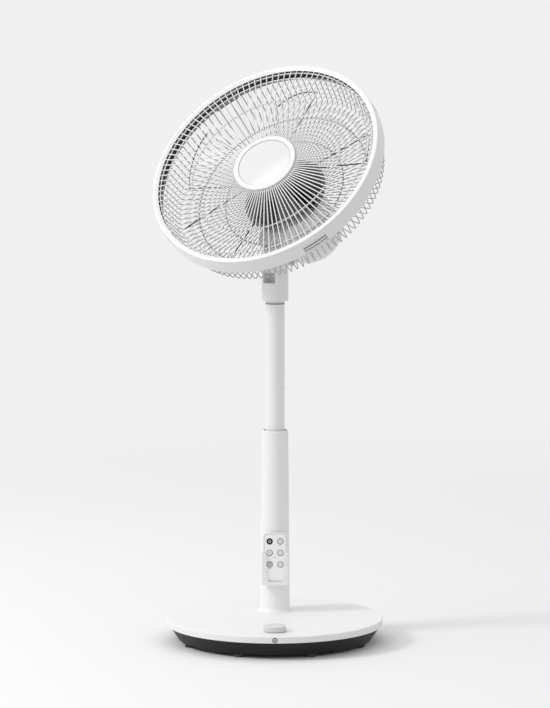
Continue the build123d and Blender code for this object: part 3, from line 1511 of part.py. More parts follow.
# Holder: open-topped pocket on the front of the column, with a rounded window for the keys.
holder_front = remote_face_y - holder_gap - holder_front_wall
pocket_back = remote_back_y + holder_gap
pocket_floor = remote_foot - play - holder_bottom
holder_height = holder_top - holder_bottom
holder_middle = (holder_top + holder_bottom) / 2
holder_depth = column_y - column_foot_radius + holder_back - holder_front
holder_view = Plane(origin=(0, holder_front, holder_middle), x_dir=(1, 0, 0), z_dir=(0, -1, 0))
with BuildPart() as remote_holder:
    with BuildSketch(Plane.XY.offset(holder_bottom)):
        with Locations((0, holder_front + holder_depth / 2)):
            RectangleRounded(2 * holder_half_width, holder_depth, holder_corner)
    extrude(amount=holder_height)
    with BuildSketch(holder_view.offset(-holder_front_wall)):
        with Locations((0, (pocket_floor + room) / 2)):
            Rectangle(remote_width + 2 * holder_gap, holder_height - pocket_floor + room)
    extrude(amount=-(pocket_back - holder_front - holder_front_wall), mode=Mode.SUBTRACT)
    with BuildSketch(holder_view.offset(room)):
        with Locations((0, window_rise + window_over / 2)):
            RectangleRounded(2 * window_half_width, holder_height + window_over, window_corner)
    extrude(amount=-holder_front_wall - 1.5 * room, mode=Mode.SUBTRACT)
    with BuildSketch(column_profile):
        with BuildLine():
            reach = column_radius(holder_bottom - room) + seat
            reach_top = column_radius(holder_top + room) + seat
            Polyline(
                (0, holder_bottom - room),
                (reach, holder_bottom - room),
                (reach_top, holder_top + room),
                (0, holder_top + room),
                (0, holder_bottom - room),
            )
        make_face()
    revolve(axis=column_axis, mode=Mode.SUBTRACT)
    with BuildSketch(Plane(origin=(0, column_y, holder_screw_height), x_dir=(1, 0, 0), z_dir=(0, -1, 0))):
        with Locations((-holder_screw_x, 0), (holder_screw_x, 0)):
            Circle(screw_radius + seat)
    extrude(amount=column_y - pocket_back + room / 2, mode=Mode.SUBTRACT)
    with BuildSketch(Plane(origin=(0, pocket_back, holder_screw_height), x_dir=(1, 0, 0), z_dir=(0, 1, 0))):
        with Locations((-holder_screw_x, 0), (holder_screw_x, 0)):
            Circle(screw_head + play)
    extrude(amount=screw_head_height + holder_gap, mode=Mode.SUBTRACT)
remote_holder.part.label = "remote_holder"
export_step(remote_holder.part, "parts/remote_holder.step")

# ================================================================== SCREWS
# The same self-tapping screw throughout; one group for the stand and one for the head.
pan_seat = foot_height + counterbore_depth


def cross():
    """Outline of the cross recess in a screw's head."""
    Rectangle(cross_length, cross_width)
    Rectangle(cross_width, cross_length)


with BuildPart() as stand_screws:
    with BuildSketch(Plane.XY.offset(pan_seat - seat - screw_head_height)):
        with PolarLocations(boss_circle, boss_count):
            Circle(screw_head)
    extrude(amount=screw_head_height)
    with BuildSketch(Plane.XY.offset(pan_seat - seat - screw_head_height)):
        with PolarLocations(boss_circle, boss_count):
            cross()
    extrude(amount=cross_depth, mode=Mode.SUBTRACT)
    with BuildSketch(Plane.XY.offset(pan_seat - seat)):
        with PolarLocations(boss_circle, boss_count):
            Circle(screw_radius)
    extrude(amount=screw_length)
    with BuildSketch(Plane.XY.offset(board_bottom - seat - screw_head_height)):
        with Locations((0, dial_y)):
            with GridLocations(board_width - 2 * post_inset, board_depth - 2 * post_inset, 2, 2):
                Circle(screw_head)
    extrude(amount=screw_head_height)
    with BuildSketch(Plane.XY.offset(board_bottom - seat - screw_head_height)):
        with Locations((0, dial_y)):
            with GridLocations(board_width - 2 * post_inset, board_depth - 2 * post_inset, 2, 2):
                cross()
    extrude(amount=cross_depth, mode=Mode.SUBTRACT)
    with BuildSketch(Plane.XY.offset(board_bottom - seat)):
        with Locations((0, dial_y)):
            with GridLocations(board_width - 2 * post_inset, board_depth - 2 * post_inset, 2, 2):
                Circle(screw_radius)
    extrude(amount=screw_length)
    head_seat = pocket_back + screw_head_height + holder_gap - seat
    holder_seat = Plane(origin=(0, head_seat, holder_screw_height), x_dir=(1, 0, 0), z_dir=(0, 1, 0))
    with BuildSketch(holder_seat):
        with Locations((-holder_screw_x, 0), (holder_screw_x, 0)):
            Circle(screw_head)
    extrude(amount=-screw_head_height)
    with BuildSketch(holder_seat.offset(-screw_head_height)):
        with Locations((-holder_screw_x, 0), (holder_screw_x, 0)):
            cross()
    extrude(amount=cross_depth, mode=Mode.SUBTRACT)
    with BuildSketch(holder_seat):
        with Locations((-holder_screw_x, 0), (holder_screw_x, 0)):
            Circle(screw_radius)
    extrude(amount=screw_length)
stand_screws.part.label = "stand_screws"
export_step(stand_screws.part, "parts/stand_screws.step")

screw_groups = (
    (behind(housing_split + seat), can_post_circle, 0.0),
    (behind(cover_screw_depth + well_floor + seat), cover_screw_circle, cover_screw_angle),
    (behind(cap_back_front + cap_back_thickness + seat), cap_screw_circle, cap_screw_angle),
)
arm_seat = Plane(origin=pivot + head_up * (pad_top - pad_floor - seat), x_dir=side_way, z_dir=head_up)
with BuildPart() as head_screws:
    for seat_plane, circle, first_angle in screw_groups:
        with BuildSketch(seat_plane):
            with PolarLocations(circle, can_post_count, start_angle=first_angle):
                Circle(screw_head)
        extrude(amount=-screw_head_height)
        with BuildSketch(seat_plane.offset(-screw_head_height)):
            with PolarLocations(circle, can_post_count, start_angle=first_angle):
                cross()
        extrude(amount=cross_depth, mode=Mode.SUBTRACT)
        with BuildSketch(seat_plane):
            with PolarLocations(circle, can_post_count, start_angle=first_angle):
                Circle(screw_radius)
        extrude(amount=screw_length)
    with BuildSketch(arm_seat):
        with GridLocations(2 * pad_screw_x, 2 * pad_screw_y, 2, 2):
            Circle(screw_head)
    extrude(amount=-screw_head_height)
    with BuildSketch(arm_seat.offset(-screw_head_height)):
        with GridLocations(2 * pad_screw_x, 2 * pad_screw_y, 2, 2):
            cross()
    extrude(amount=cross_depth, mode=Mode.SUBTRACT)
    with BuildSketch(arm_seat):
        with GridLocations(2 * pad_screw_x, 2 * pad_screw_y, 2, 2):
            Circle(screw_radius)
    extrude(amount=screw_length)
head_screws.part.label = "head_screws"
export_step(head_screws.part, "parts/head_screws.step")
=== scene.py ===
# %% [markdown]
# A white pedestal fan stands on a pale floor. Everything added here takes its place from that frame,
# so nothing has to be fitted by eye.

# %% Load the fan
import json
import math

import bmesh
import bpy
from mathutils import Matrix, Vector


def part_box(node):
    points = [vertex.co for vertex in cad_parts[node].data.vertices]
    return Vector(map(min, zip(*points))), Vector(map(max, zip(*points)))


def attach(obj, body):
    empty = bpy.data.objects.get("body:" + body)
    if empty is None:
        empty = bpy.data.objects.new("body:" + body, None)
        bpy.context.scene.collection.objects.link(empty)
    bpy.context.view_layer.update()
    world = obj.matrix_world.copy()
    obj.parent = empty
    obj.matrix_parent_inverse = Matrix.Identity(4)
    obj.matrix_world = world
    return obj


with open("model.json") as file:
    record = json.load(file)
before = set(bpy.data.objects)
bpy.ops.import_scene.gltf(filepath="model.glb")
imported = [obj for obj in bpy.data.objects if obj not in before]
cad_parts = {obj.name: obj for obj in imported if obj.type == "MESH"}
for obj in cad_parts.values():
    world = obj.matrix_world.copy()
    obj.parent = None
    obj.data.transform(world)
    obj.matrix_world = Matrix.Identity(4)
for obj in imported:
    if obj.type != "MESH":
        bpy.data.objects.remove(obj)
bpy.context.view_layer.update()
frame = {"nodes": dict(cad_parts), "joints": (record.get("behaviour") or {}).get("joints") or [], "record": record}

nodes = frame["nodes"]

# %% [markdown]
# The head of the fan is turned and tilted, so its pieces are easiest to describe along the middle line
# of the blades. The spin joint gives that line, and the front of the hoop is the zero point on it.

# %% Middle line of the head
MM = 0.001
joints = {joint["name"]: joint for joint in frame["joints"]}
forward = Vector(joints["fan_spin"]["axis"]).normalized()
on_axis = Vector(joints["fan_spin"]["pos_m"])
hoop_reach = max((vertex.co - on_axis).dot(forward) for vertex in nodes["hoop"].data.vertices)
hoop_front = on_axis + forward * hoop_reach
print("front of the hoop", [round(value, 4) for value in hoop_front])

# %% [markdown]
# A tall, thin object is best seen from far away through a long lens, so that upright lines stay
# upright. The camera stands six and a half metres off, a little above the fan, and looks down by a
# few degrees. A short lens close by would make the head look far too large for the base.

# %% Camera
LENS = 203.4
CAMERA_PLACE = (0.0, -6.6, 1.263)
LOOK_DOWN = 6.74

camera_data = bpy.data.cameras.new("camera")
camera_data.sensor_fit = "AUTO"
camera_data.sensor_width = 36.0
camera_data.lens = LENS
camera_data.clip_end = 60.0
camera = bpy.data.objects.new("camera", camera_data)
camera.location = CAMERA_PLACE
camera.rotation_euler = (math.radians(90.0 - LOOK_DOWN), 0.0, 0.0)
bpy.context.scene.collection.objects.link(camera)
bpy.context.scene.camera = camera
bpy.context.scene.view_settings.view_transform = "Standard"
print("lens", camera_data.lens)

# %% [markdown]
# The light is a plain studio set. The room itself glows: brighter overhead and to the left, weaker low
# on the right, so that round white forms keep their shading. One large lamp from the left adds the
# bright side and drops a soft shadow to the right. What the camera, mirrors and glass see behind the
# object is a separate pale tone, which lights nothing.

# %% Room glow
GLOW_FROM = (-0.28, 0.0, 0.96)
GLOW_MIDDLE = 0.66
GLOW_SWING = 0.30
PALE_SEEN = (0.87, 0.872, 0.876)

world = bpy.data.worlds.new("room")
world.use_nodes = True
bpy.context.scene.world = world
room = world.node_tree
room.nodes.clear()
room_place = room.nodes.new("ShaderNodeTexCoord")
room_dot = room.nodes.new("ShaderNodeVectorMath")
room_dot.operation = "DOT_PRODUCT"
room_dot.inputs[1].default_value = GLOW_FROM
room_level = room.nodes.new("ShaderNodeMath")
room_level.operation = "MULTIPLY_ADD"
room_level.inputs[1].default_value = GLOW_SWING
room_level.inputs[2].default_value = GLOW_MIDDLE
room_glow = room.nodes.new("ShaderNodeBackground")
room_glow.inputs["Color"].default_value = (0.985, 0.99, 1.0, 1.0)
room.links.new(room_place.outputs["Generated"], room_dot.inputs[0])
room.links.new(room_dot.outputs["Value"], room_level.inputs[0])
room.links.new(room_level.outputs[0], room_glow.inputs["Strength"])


def seen_directly(tree):
    """1 for rays from the camera, off a mirror or through glass, else 0."""
    path = tree.nodes.new("ShaderNodeLightPath")
    either = tree.nodes.new("ShaderNodeMath")
    either.operation = "MAXIMUM"
    any_of = tree.nodes.new("ShaderNodeMath")
    any_of.operation = "MAXIMUM"
    tree.links.new(path.outputs["Is Camera Ray"], either.inputs[0])
    tree.links.new(path.outputs["Is Transmission Ray"], either.inputs[1])
    tree.links.new(either.outputs[0], any_of.inputs[0])
    tree.links.new(path.outputs["Is Glossy Ray"], any_of.inputs[1])
    return any_of.outputs[0]


room_seen = room.nodes.new("ShaderNodeBackground")
room_seen.inputs["Color"].default_value = (*PALE_SEEN, 1.0)
room_mix = room.nodes.new("ShaderNodeMixShader")
room_out = room.nodes.new("ShaderNodeOutputWorld")
room.links.new(seen_directly(room), room_mix.inputs["Fac"])
room.links.new(room_glow.outputs[0], room_mix.inputs[1])
room.links.new(room_seen.outputs[0], room_mix.inputs[2])
room.links.new(room_mix.outputs[0], room_out.inputs["Surface"])
print("glow from", round(GLOW_MIDDLE - GLOW_SWING, 2), "to", round(GLOW_MIDDLE + GLOW_SWING, 2))

# %% [markdown]
# A lamp is a square panel. The larger the panel, the softer the edge of the shadow it drops. The weak
# second lamp, above the first, lifts the tops of the head and the base a little.

# %% Lamps
PANEL = 0.9


def lamp(name, place, aim, size, watts):
    """A square soft lamp that points from a place to an aim."""
    data = bpy.data.lights.new(name, "AREA")
    data.shape = "SQUARE"
    data.size = size
    data.energy = watts
    holder = bpy.data.objects.new(name, data)
    holder.location = place
    holder.rotation_euler = (Vector(aim) - Vector(place)).to_track_quat("-Z", "Y").to_euler()
    bpy.context.scene.collection.objects.link(holder)
    return holder


key_lamp = lamp("key_lamp", (-3.4, -0.9, 2.6), (0.0, 0.0, 0.5), PANEL, 66.0)
top_lamp = lamp("top_lamp", (-1.75, -0.35, 3.1), (0.0, 0.0, 0.75), PANEL, 5.0)
print("lamps", key_lamp.data.energy, "W and", top_lamp.data.energy, "W")

# %% [markdown]
# Every finish below is built from the same few moves: a base colour that drifts slightly over the
# surface, a roughness that drifts with it, and a fine bump. A helper makes those once, so each finish
# only states how strong and how fine they are. The noise reads object coordinates, which are metres
# here, so a scale of 1000 gives features of about a millimetre.

# %% Helper for the finishes
def shader_of(name):
    """A new material with its node tree and its shader."""
    material = bpy.data.materials.new(name)
    material.use_nodes = True
    return material, *inside(material)


def inside(material):
    """The node tree and the shader of a material."""
    return material.node_tree, material.node_tree.nodes["Principled BSDF"]


def noise(tree, scale, detail=3.0, roughness=0.5):
    """Noise in object coordinates."""
    place = tree.nodes.new("ShaderNodeTexCoord")
    texture = tree.nodes.new("ShaderNodeTexNoise")
    texture.inputs["Scale"].default_value = scale
    texture.inputs["Detail"].default_value = detail
    texture.inputs["Roughness"].default_value = roughness
    tree.links.new(place.outputs["Object"], texture.inputs["Vector"])
    return texture


def between(tree, factor, low, high):
    """Maps a 0 to 1 factor to a range of numbers."""
    spread = tree.nodes.new("ShaderNodeMapRange")
    spread.inputs["To Min"].default_value = low
    spread.inputs["To Max"].default_value = high
    tree.links.new(factor, spread.inputs["Value"])
    return spread.outputs["Result"]


def two_tone(tree, factor, first, second):
    """Mixes two colours by a factor."""
    mix = tree.nodes.new("ShaderNodeMix")
    mix.data_type = "RGBA"
    mix.inputs["A"].default_value = (*first, 1.0)
    mix.inputs["B"].default_value = (*second, 1.0)
    tree.links.new(factor, mix.inputs["Factor"])
    return mix.outputs["Result"]


def overpaint(tree, shader, factor, colour):
    """Lays a colour over the base colour wherever the factor is 1."""
    mix = tree.nodes.new("ShaderNodeMix")
    mix.data_type = "RGBA"
    mix.inputs["B"].default_value = (*colour, 1.0)
    under = shader.inputs["Base Color"].links[0].from_socket
    tree.links.new(factor, mix.inputs["Factor"])
    tree.links.new(under, mix.inputs["A"])
    tree.links.new(mix.outputs["Result"], shader.inputs["Base Color"])


def grain(tree, shader, scale, height, detail=2.0):
    """Fine bump of a given height in metres."""
    texture = noise(tree, scale, detail)
    bump = tree.nodes.new("ShaderNodeBump")
    bump.inputs["Strength"].default_value = 1.0
    bump.inputs["Distance"].default_value = height
    tree.links.new(texture.outputs["Fac"], bump.inputs["Height"])
    tree.links.new(bump.outputs["Normal"], shader.inputs["Normal"])


def moulded(name, light, dark, rough, grain_scale, grain_height, drift_scale=9.0):
    """Moulded or coated surface: two close colours, a roughness range and a fine grain."""
    material, tree, shader = shader_of(name)
    drift = noise(tree, drift_scale, 4.0)
    tree.links.new(two_tone(tree, drift.outputs["Fac"], dark, light), shader.inputs["Base Color"])
    patch = noise(tree, drift_scale * 7.0, 3.0)
    tree.links.new(between(tree, patch.outputs["Fac"], rough[0], rough[1]), shader.inputs["Roughness"])
    grain(tree, shader, grain_scale, grain_height)
    return material


# %% [markdown]
# Most of the fan is white plastic. The large covers come out of a spark-eroded mould, which leaves a
# very fine, even grain, and the dial, the badge and the remote control are polished, so they get a
# clear gloss and hardly any grain. The pan under the base is the same kind of plastic in near black.

# %% White, glossy and dark plastics
white_shell = moulded("white_shell", (0.86, 0.86, 0.855), (0.83, 0.83, 0.825), (0.34, 0.46), 2600.0, 0.000006)
white_gloss = moulded("white_gloss", (0.81, 0.81, 0.81), (0.79, 0.79, 0.79), (0.08, 0.16), 900.0, 0.000002)
# The badge's copy of the gloss is a little darker as painted shade, to offset the extra light on its face.
badge_gloss = moulded("badge_gloss", (0.75, 0.75, 0.75), (0.73, 0.73, 0.73), (0.08, 0.16), 900.0, 0.000002)
for polished in (white_gloss, badge_gloss):
    tree, shader = inside(polished)
    shader.inputs["Coat Weight"].default_value = 0.5
    shader.inputs["Coat Roughness"].default_value = 0.05
dark_shell = moulded("dark_shell", (0.018, 0.018, 0.02), (0.012, 0.012, 0.013), (0.42, 0.54), 2200.0, 0.00001)
tree, shader = inside(dark_shell)
shader.inputs["Specular IOR Level"].default_value = 0.3
grey_part = moulded("grey_part", (0.33, 0.33, 0.34), (0.28, 0.28, 0.29), (0.4, 0.55), 1800.0, 0.000008)
dial_finish = moulded("dial_finish", (0.7, 0.703, 0.706), (0.67, 0.673, 0.676), (0.26, 0.36), 2400.0, 4e-6)
rubber_finish = moulded("rubber_finish", (0.05, 0.05, 0.05), (0.035, 0.035, 0.035), (0.7, 0.85), 1500.0, 2e-5)
print("plastics:", white_shell.name, white_gloss.name, dark_shell.name, dial_finish.name)

# %% [markdown]
# The guards and the inner tube are steel under a baked white coating. Such a coating flows a little
# before it sets, so it is glossier than the plastic and slightly wavy, which is called orange peel.

# %% Coated metal
# The front guard's white is set a little darker than the tube's as painted shade, for the shaded side of its thin
# wires.
guard_coat = moulded("guard_coat", (0.74, 0.74, 0.74), (0.71, 0.71, 0.71), (0.22, 0.32), 420.0, 0.00001)
tube_coat = moulded("tube_coat", (0.85, 0.85, 0.85), (0.82, 0.82, 0.82), (0.24, 0.34), 380.0, 0.000008)
cast_coat = moulded("cast_coat", (0.84, 0.84, 0.835), (0.80, 0.80, 0.795), (0.36, 0.5), 700.0, 0.00002)
ballast_coat = moulded("ballast_coat", (0.10, 0.10, 0.10), (0.06, 0.06, 0.06), (0.6, 0.8), 300.0, 0.00015)

# %% [markdown]
# Bare steel shows in the screws, pins and shafts. Metal has no base colour of its own shade: the
# metallic value is 1 and the colour tints the reflection. The roughness varies in streaks.

# %% Bare metal
METAL_SHADE = 0.86


def bare_metal(name, colour, rough, streak_scale):
    """Metal whose roughness varies in patches."""
    material, tree, shader = shader_of(name)
    shader.inputs["Metallic"].default_value = 1.0
    tone = noise(tree, streak_scale, 4.0)
    darker = tuple(value * METAL_SHADE for value in colour)
    tree.links.new(two_tone(tree, tone.outputs["Fac"], darker, colour), shader.inputs["Base Color"])
    tree.links.new(between(tree, tone.outputs["Fac"], rough[0], rough[1]), shader.inputs["Roughness"])
    grain(tree, shader, streak_scale * 9.0, 0.000006)
    return material


zinc = bare_metal("zinc", (0.62, 0.62, 0.63), (0.25, 0.42), 160.0)
copper = bare_metal("copper", (0.55, 0.29, 0.16), (0.3, 0.5), 220.0)
print("metals:", zinc.name, copper.name)

# %% [markdown]
# Some finishes change with the distance from the fan's middle line: the blades are clear but their hub
# is black, and the hoop is white outside with black painted shade on its inner wall. The nodes below
# measure that distance from object coordinates, so the pattern stays on the piece however the head is posed.

# %% Distance from the middle line
def constant_vector(tree, value):
    """A fixed vector for the maths below."""
    holder = tree.nodes.new("ShaderNodeCombineXYZ")
    for axis, amount in zip("XYZ", value):
        holder.inputs[axis].default_value = amount
    return holder.outputs["Vector"]


def vector_step(tree, kind, first, second=None, scale=None):
    """One step of vector maths."""
    step = tree.nodes.new("ShaderNodeVectorMath")
    step.operation = kind
    tree.links.new(first, step.inputs[0])
    if second is not None:
        tree.links.new(second, step.inputs[1])
    if scale is not None:
        tree.links.new(scale, step.inputs["Scale"])
    return step.outputs["Value"] if kind in ("DOT_PRODUCT", "LENGTH") else step.outputs["Vector"]


def number_step(tree, kind, first, second):
    """One step of maths; each input is a socket or a plain number."""
    step = tree.nodes.new("ShaderNodeMath")
    step.operation = kind
    for value, socket in zip((first, second), step.inputs):
        if isinstance(value, (int, float)):
            socket.default_value = value
        elif value is not None:
            tree.links.new(value, socket)
    return step.outputs[0]


def from_axis(tree):
    """Radius from the middle line, and how far ahead of the hoop's front along it, in metres."""
    place = tree.nodes.new("ShaderNodeTexCoord")
    line = constant_vector(tree, forward)
    from_hoop = vector_step(tree, "SUBTRACT", place.outputs["Object"], constant_vector(tree, hoop_front))
    along = vector_step(tree, "DOT_PRODUCT", from_hoop, line)
    ahead = vector_step(tree, "SCALE", line, scale=along)
    outward = vector_step(tree, "SUBTRACT", from_hoop, ahead)
    return vector_step(tree, "LENGTH", outward), along


# %% [markdown]
# The blades are a clear moulding, so the broad faces almost vanish. The narrow edge faces are painted
# near black as painted shade, for edges that lie in shadow. An edge face stands square to the
# blade, so its normal has nothing of the fan's middle line in it, and that picks it out. The hub is
# moulded in black and stays opaque.

# %% Clear blades with a black hub and painted edge shade
HUB_EDGE = 0.0364
EDGE_LEAN = 0.16
SHEET_FACE = 0.015
SHEET_SIDE = 0.14

blade_clear, tree, shader = shader_of("blade_clear")
radius, _ = from_axis(tree)
facing = tree.nodes.new("ShaderNodeTexCoord").outputs["Normal"]
lean = vector_step(tree, "DOT_PRODUCT", facing, constant_vector(tree, forward))
edge = number_step(tree, "LESS_THAN", number_step(tree, "ABSOLUTE", lean, None), EDGE_LEAN)
hub = number_step(tree, "LESS_THAN", radius, HUB_EDGE)
hub_and_edge_shade = number_step(tree, "MAXIMUM", edge, hub)
veil = noise(tree, 14.0, 3.0)
clear_tone = two_tone(tree, veil.outputs["Fac"], (0.90, 0.905, 0.91), (0.93, 0.935, 0.94))
tree.links.new(clear_tone, shader.inputs["Base Color"])
# Near black on the edge faces is painted shade; on the hub it is the hub's own black.
overpaint(tree, shader, hub_and_edge_shade, (0.02, 0.02, 0.022))
glance = tree.nodes.new("ShaderNodeLayerWeight")
glance.inputs["Blend"].default_value = 0.35
sheet = between(tree, glance.outputs["Fresnel"], SHEET_FACE, SHEET_SIDE)
tree.links.new(number_step(tree, "MAXIMUM", sheet, hub_and_edge_shade), shader.inputs["Alpha"])
shader.inputs["Roughness"].default_value = 0.08
shader.inputs["IOR"].default_value = 1.49
grain(tree, shader, 60.0, 0.00003)
print("hub black to radius", HUB_EDGE)

# %% [markdown]
# The rear guard carries the same baked coating as the front one, toned down to grey as painted shade,
# for wires that lie in shade behind the blades. The plate in its middle is black.

# %% Rear guard in painted shade with a black plate
PLATE_EDGE = 0.0733
PLATE_DEPTH = 0.0896

# This grey is painted shade over a white coating.
rear_shaded_coat = moulded("rear_shaded_coat", (0.50, 0.50, 0.505), (0.46, 0.46, 0.465), (0.22, 0.32), 420.0, 0.00001)
tree, shader = inside(rear_shaded_coat)
radius, along = from_axis(tree)
in_plate = number_step(tree, "LESS_THAN", radius, PLATE_EDGE)
at_plate = number_step(tree, "LESS_THAN", along, -PLATE_DEPTH)
overpaint(tree, shader, number_step(tree, "MULTIPLY", in_plate, at_plate), (0.02, 0.02, 0.021))
print("black plate to radius", PLATE_EDGE)

# %% [markdown]
# The hoop that carries both guards is white, and its inner wall behind the front lip is painted black as
# painted shade, where that wall lies in shadow. The same radius decides which part of the hoop is which.

# %% White hoop with painted shade on its inner wall
INNER_SHADE_RADIUS = 0.2009
LIP_DEPTH = 0.0033


def hoop_shade_finish(name):
    """White outside the shade radius and in front of the lip, painted black shade elsewhere."""
    material = moulded(name, (0.86, 0.86, 0.855), (0.83, 0.83, 0.825), (0.32, 0.44), 2600.0, 0.000006)
    tree, shader = inside(material)
    radius, along = from_axis(tree)
    inner = number_step(tree, "LESS_THAN", radius, INNER_SHADE_RADIUS)
    behind_lip = number_step(tree, "LESS_THAN", along, -LIP_DEPTH)
    # This black on the inner wall is painted shade.
    overpaint(tree, shader, number_step(tree, "MULTIPLY", inner, behind_lip), (0.03, 0.03, 0.032))
    return material


hoop_finish = hoop_shade_finish("hoop_finish")
print("lining inside radius", INNER_SHADE_RADIUS)

# %% [markdown]
# Each latch has four grip ridges. The wider grooves beside each pair of them get a grey tone as painted
# shade, which is what makes the grip readable from a distance.

# %% Latches with shaded grooves
GROOVE_PITCH = 0.006
GROOVE_START = 0.017
GROOVE_END = 0.0292
GROOVE_HALF = 0.0011

latch_finish = hoop_shade_finish("latch_finish")
tree, shader = inside(latch_finish)
_, along = from_axis(tree)
depth = number_step(tree, "MULTIPLY", along, -1.0)
phase = number_step(tree, "PINGPONG", number_step(tree, "SUBTRACT", depth, GROOVE_START), GROOVE_PITCH / 2)
groove = number_step(tree, "LESS_THAN", phase, GROOVE_HALF)
after = number_step(tree, "GREATER_THAN", depth, GROOVE_START - GROOVE_HALF)
before = number_step(tree, "LESS_THAN", depth, GROOVE_END)
shaded = number_step(tree, "MULTIPLY", groove, number_step(tree, "MULTIPLY", after, before))
# The grey in the grooves is painted shade.
overpaint(tree, shader, shaded, (0.26, 0.26, 0.265))
print("groove pitch", GROOVE_PITCH)

# %% [markdown]
# The ring round the badge has a narrow step beside the badge. Very little light reaches the bottom of
# it, so the step is shaded.

# %% Ring round the badge
STEP_INNER = 0.0460
STEP_OUTER = 0.0471

cap_finish = moulded("cap_finish", (0.83, 0.83, 0.825), (0.80, 0.80, 0.795), (0.30, 0.42), 2600.0, 0.000004)
tree, shader = inside(cap_finish)
radius, _ = from_axis(tree)
past_inner = number_step(tree, "GREATER_THAN", radius, STEP_INNER)
short_of_outer = number_step(tree, "LESS_THAN", radius, STEP_OUTER)
overpaint(tree, shader, number_step(tree, "MULTIPLY", past_inner, short_of_outer), (0.36, 0.36, 0.365))
print("shaded step from", STEP_INNER, "to", STEP_OUTER)

# %% [markdown]
# The eye of the remote control in the base is one small moulding: a black surround, a pale lens in the
# middle and a dark sensor behind the lens. Distance from the eye's own middle picks the three rings.

# %% Remote-control eye
eye_low, eye_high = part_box("ir_window")
eye_middle = Vector(((eye_low.x + eye_high.x) / 2, 0.0, (eye_low.z + eye_high.z) / 2))
EYE_LENS = 0.00285
EYE_SENSOR = 0.0013

eye_finish, tree, shader = shader_of("eye_finish")
place = tree.nodes.new("ShaderNodeTexCoord")
flat = vector_step(tree, "MULTIPLY", place.outputs["Object"], constant_vector(tree, (1.0, 0.0, 1.0)))
offset = vector_step(tree, "SUBTRACT", flat, constant_vector(tree, eye_middle))
radius = vector_step(tree, "LENGTH", offset)
in_lens = number_step(tree, "LESS_THAN", radius, EYE_LENS)
off_sensor = number_step(tree, "GREATER_THAN", radius, EYE_SENSOR)
pale = number_step(tree, "MULTIPLY", in_lens, off_sensor)
tree.links.new(two_tone(tree, pale, (0.015, 0.015, 0.015), (0.80, 0.80, 0.80)), shader.inputs["Base Color"])
wipe = noise(tree, 700.0, 2.0)
tree.links.new(between(tree, wipe.outputs["Fac"], 0.06, 0.16), shader.inputs["Roughness"])
print("eye at", [round(value, 4) for value in eye_middle])

# %% [markdown]
# Inside the base and the remote control sit circuit boards. A board is glass cloth under a green
# lacquer, so a fine weave shows through the gloss.

# %% Circuit board
board_finish, tree, shader = shader_of("board_finish")
weave = tree.nodes.new("ShaderNodeTexChecker")
weave.inputs["Scale"].default_value = 1600.0
place = tree.nodes.new("ShaderNodeTexCoord")
tree.links.new(place.outputs["Object"], weave.inputs["Vector"])
green = two_tone(tree, weave.outputs["Fac"], (0.02, 0.13, 0.06), (0.03, 0.17, 0.08))
tree.links.new(green, shader.inputs["Base Color"])
shader.inputs["Roughness"].default_value = 0.25
print("boards:", board_finish.name)

# %% [markdown]
# The keys, the foil over the remote control and the printing inks are smooth plastics and paints. The
# power key is close to black and hardly shines.

# %% Keys, foil and inks
key_white = moulded("key_white", (0.86, 0.86, 0.86), (0.83, 0.83, 0.83), (0.3, 0.4), 1500.0, 0.000004)
key_grey = moulded("key_grey", (0.64, 0.64, 0.65), (0.60, 0.60, 0.61), (0.3, 0.4), 1500.0, 0.000004)
key_black = moulded("key_black", (0.012, 0.012, 0.014), (0.008, 0.008, 0.009), (0.45, 0.55), 1500.0, 0.000004)
tree, shader = inside(key_black)
shader.inputs["Specular IOR Level"].default_value = 0.15
foil_tone = moulded("remote_face_tone", (0.92, 0.92, 0.922), (0.9, 0.9, 0.902), (0.3, 0.4), 1200.0, 3e-6)
ink_dark = moulded("ink_dark", (0.20, 0.20, 0.21), (0.16, 0.16, 0.17), (0.4, 0.5), 900.0, 0.000001)
ink_grey = moulded("ink_grey", (0.24, 0.24, 0.25), (0.21, 0.21, 0.22), (0.4, 0.5), 900.0, 0.000001)
ink_white = moulded("ink_white", (0.86, 0.86, 0.86), (0.82, 0.82, 0.82), (0.4, 0.5), 900.0, 0.000001)
# This grey is painted shade for the rounded edge of the remote, laid as a line round the foil.
edge_shade_tone = moulded("edge_shade_tone", (0.55, 0.55, 0.56), (0.51, 0.51, 0.52), (0.4, 0.5), 900.0, 0.000001)
print("keys:", key_white.name, key_grey.name, key_black.name)

# %% [markdown]
# Each carried-over piece now gets its finish. The table names every piece once, and the check after
# the loop stops with an error if a piece was left plain.

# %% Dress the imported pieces
finishes = {
    white_shell: "base_cover outer_column neck_housing motor_housing motor_cover remote_holder cap_back "
    "remote_back",
    hoop_finish: "hoop",
    latch_finish: "latch_1 latch_2 latch_3 latch_4",
    white_gloss: "remote_case height_button thrust_washer",
    badge_gloss: "cap_badge",
    cap_finish: "cap_ring",
    dial_finish: "speed_dial",
    dark_shell: "base_pan column_bush tube_guide motor_can guard_nut spinner_nut power_inlet",
    grey_part: "tube_plug neck_floor",
    rubber_finish: "rubber_feet",
    guard_coat: "front_guard",
    rear_shaded_coat: "rear_guard",
    tube_coat: "inner_tube",
    cast_coat: "tilt_arm",
    ballast_coat: "base_weight",
    zinc: "stand_screws head_screws encoder_body encoder_shaft column_bolt button_spring swing_clip "
    "swing_shaft swing_motor tilt_pin fan_shaft rotor motor_bearings latch_pins coin_cell",
    copper: "stator",
    board_finish: "control_board remote_board",
    eye_finish: "ir_window",
    blade_clear: "fan_blades",
    key_black: "power_key",
    key_white: "key_2 key_3 key_4 key_6",
    key_grey: "key_5",
}
dressed = set()
for finish, names in finishes.items():
    for name in names.split():
        piece = nodes[name]
        piece.data.materials.clear()
        piece.data.materials.append(finish)
        dressed.add(name)
undressed = sorted(set(nodes) - dressed)
assert not undressed, undressed
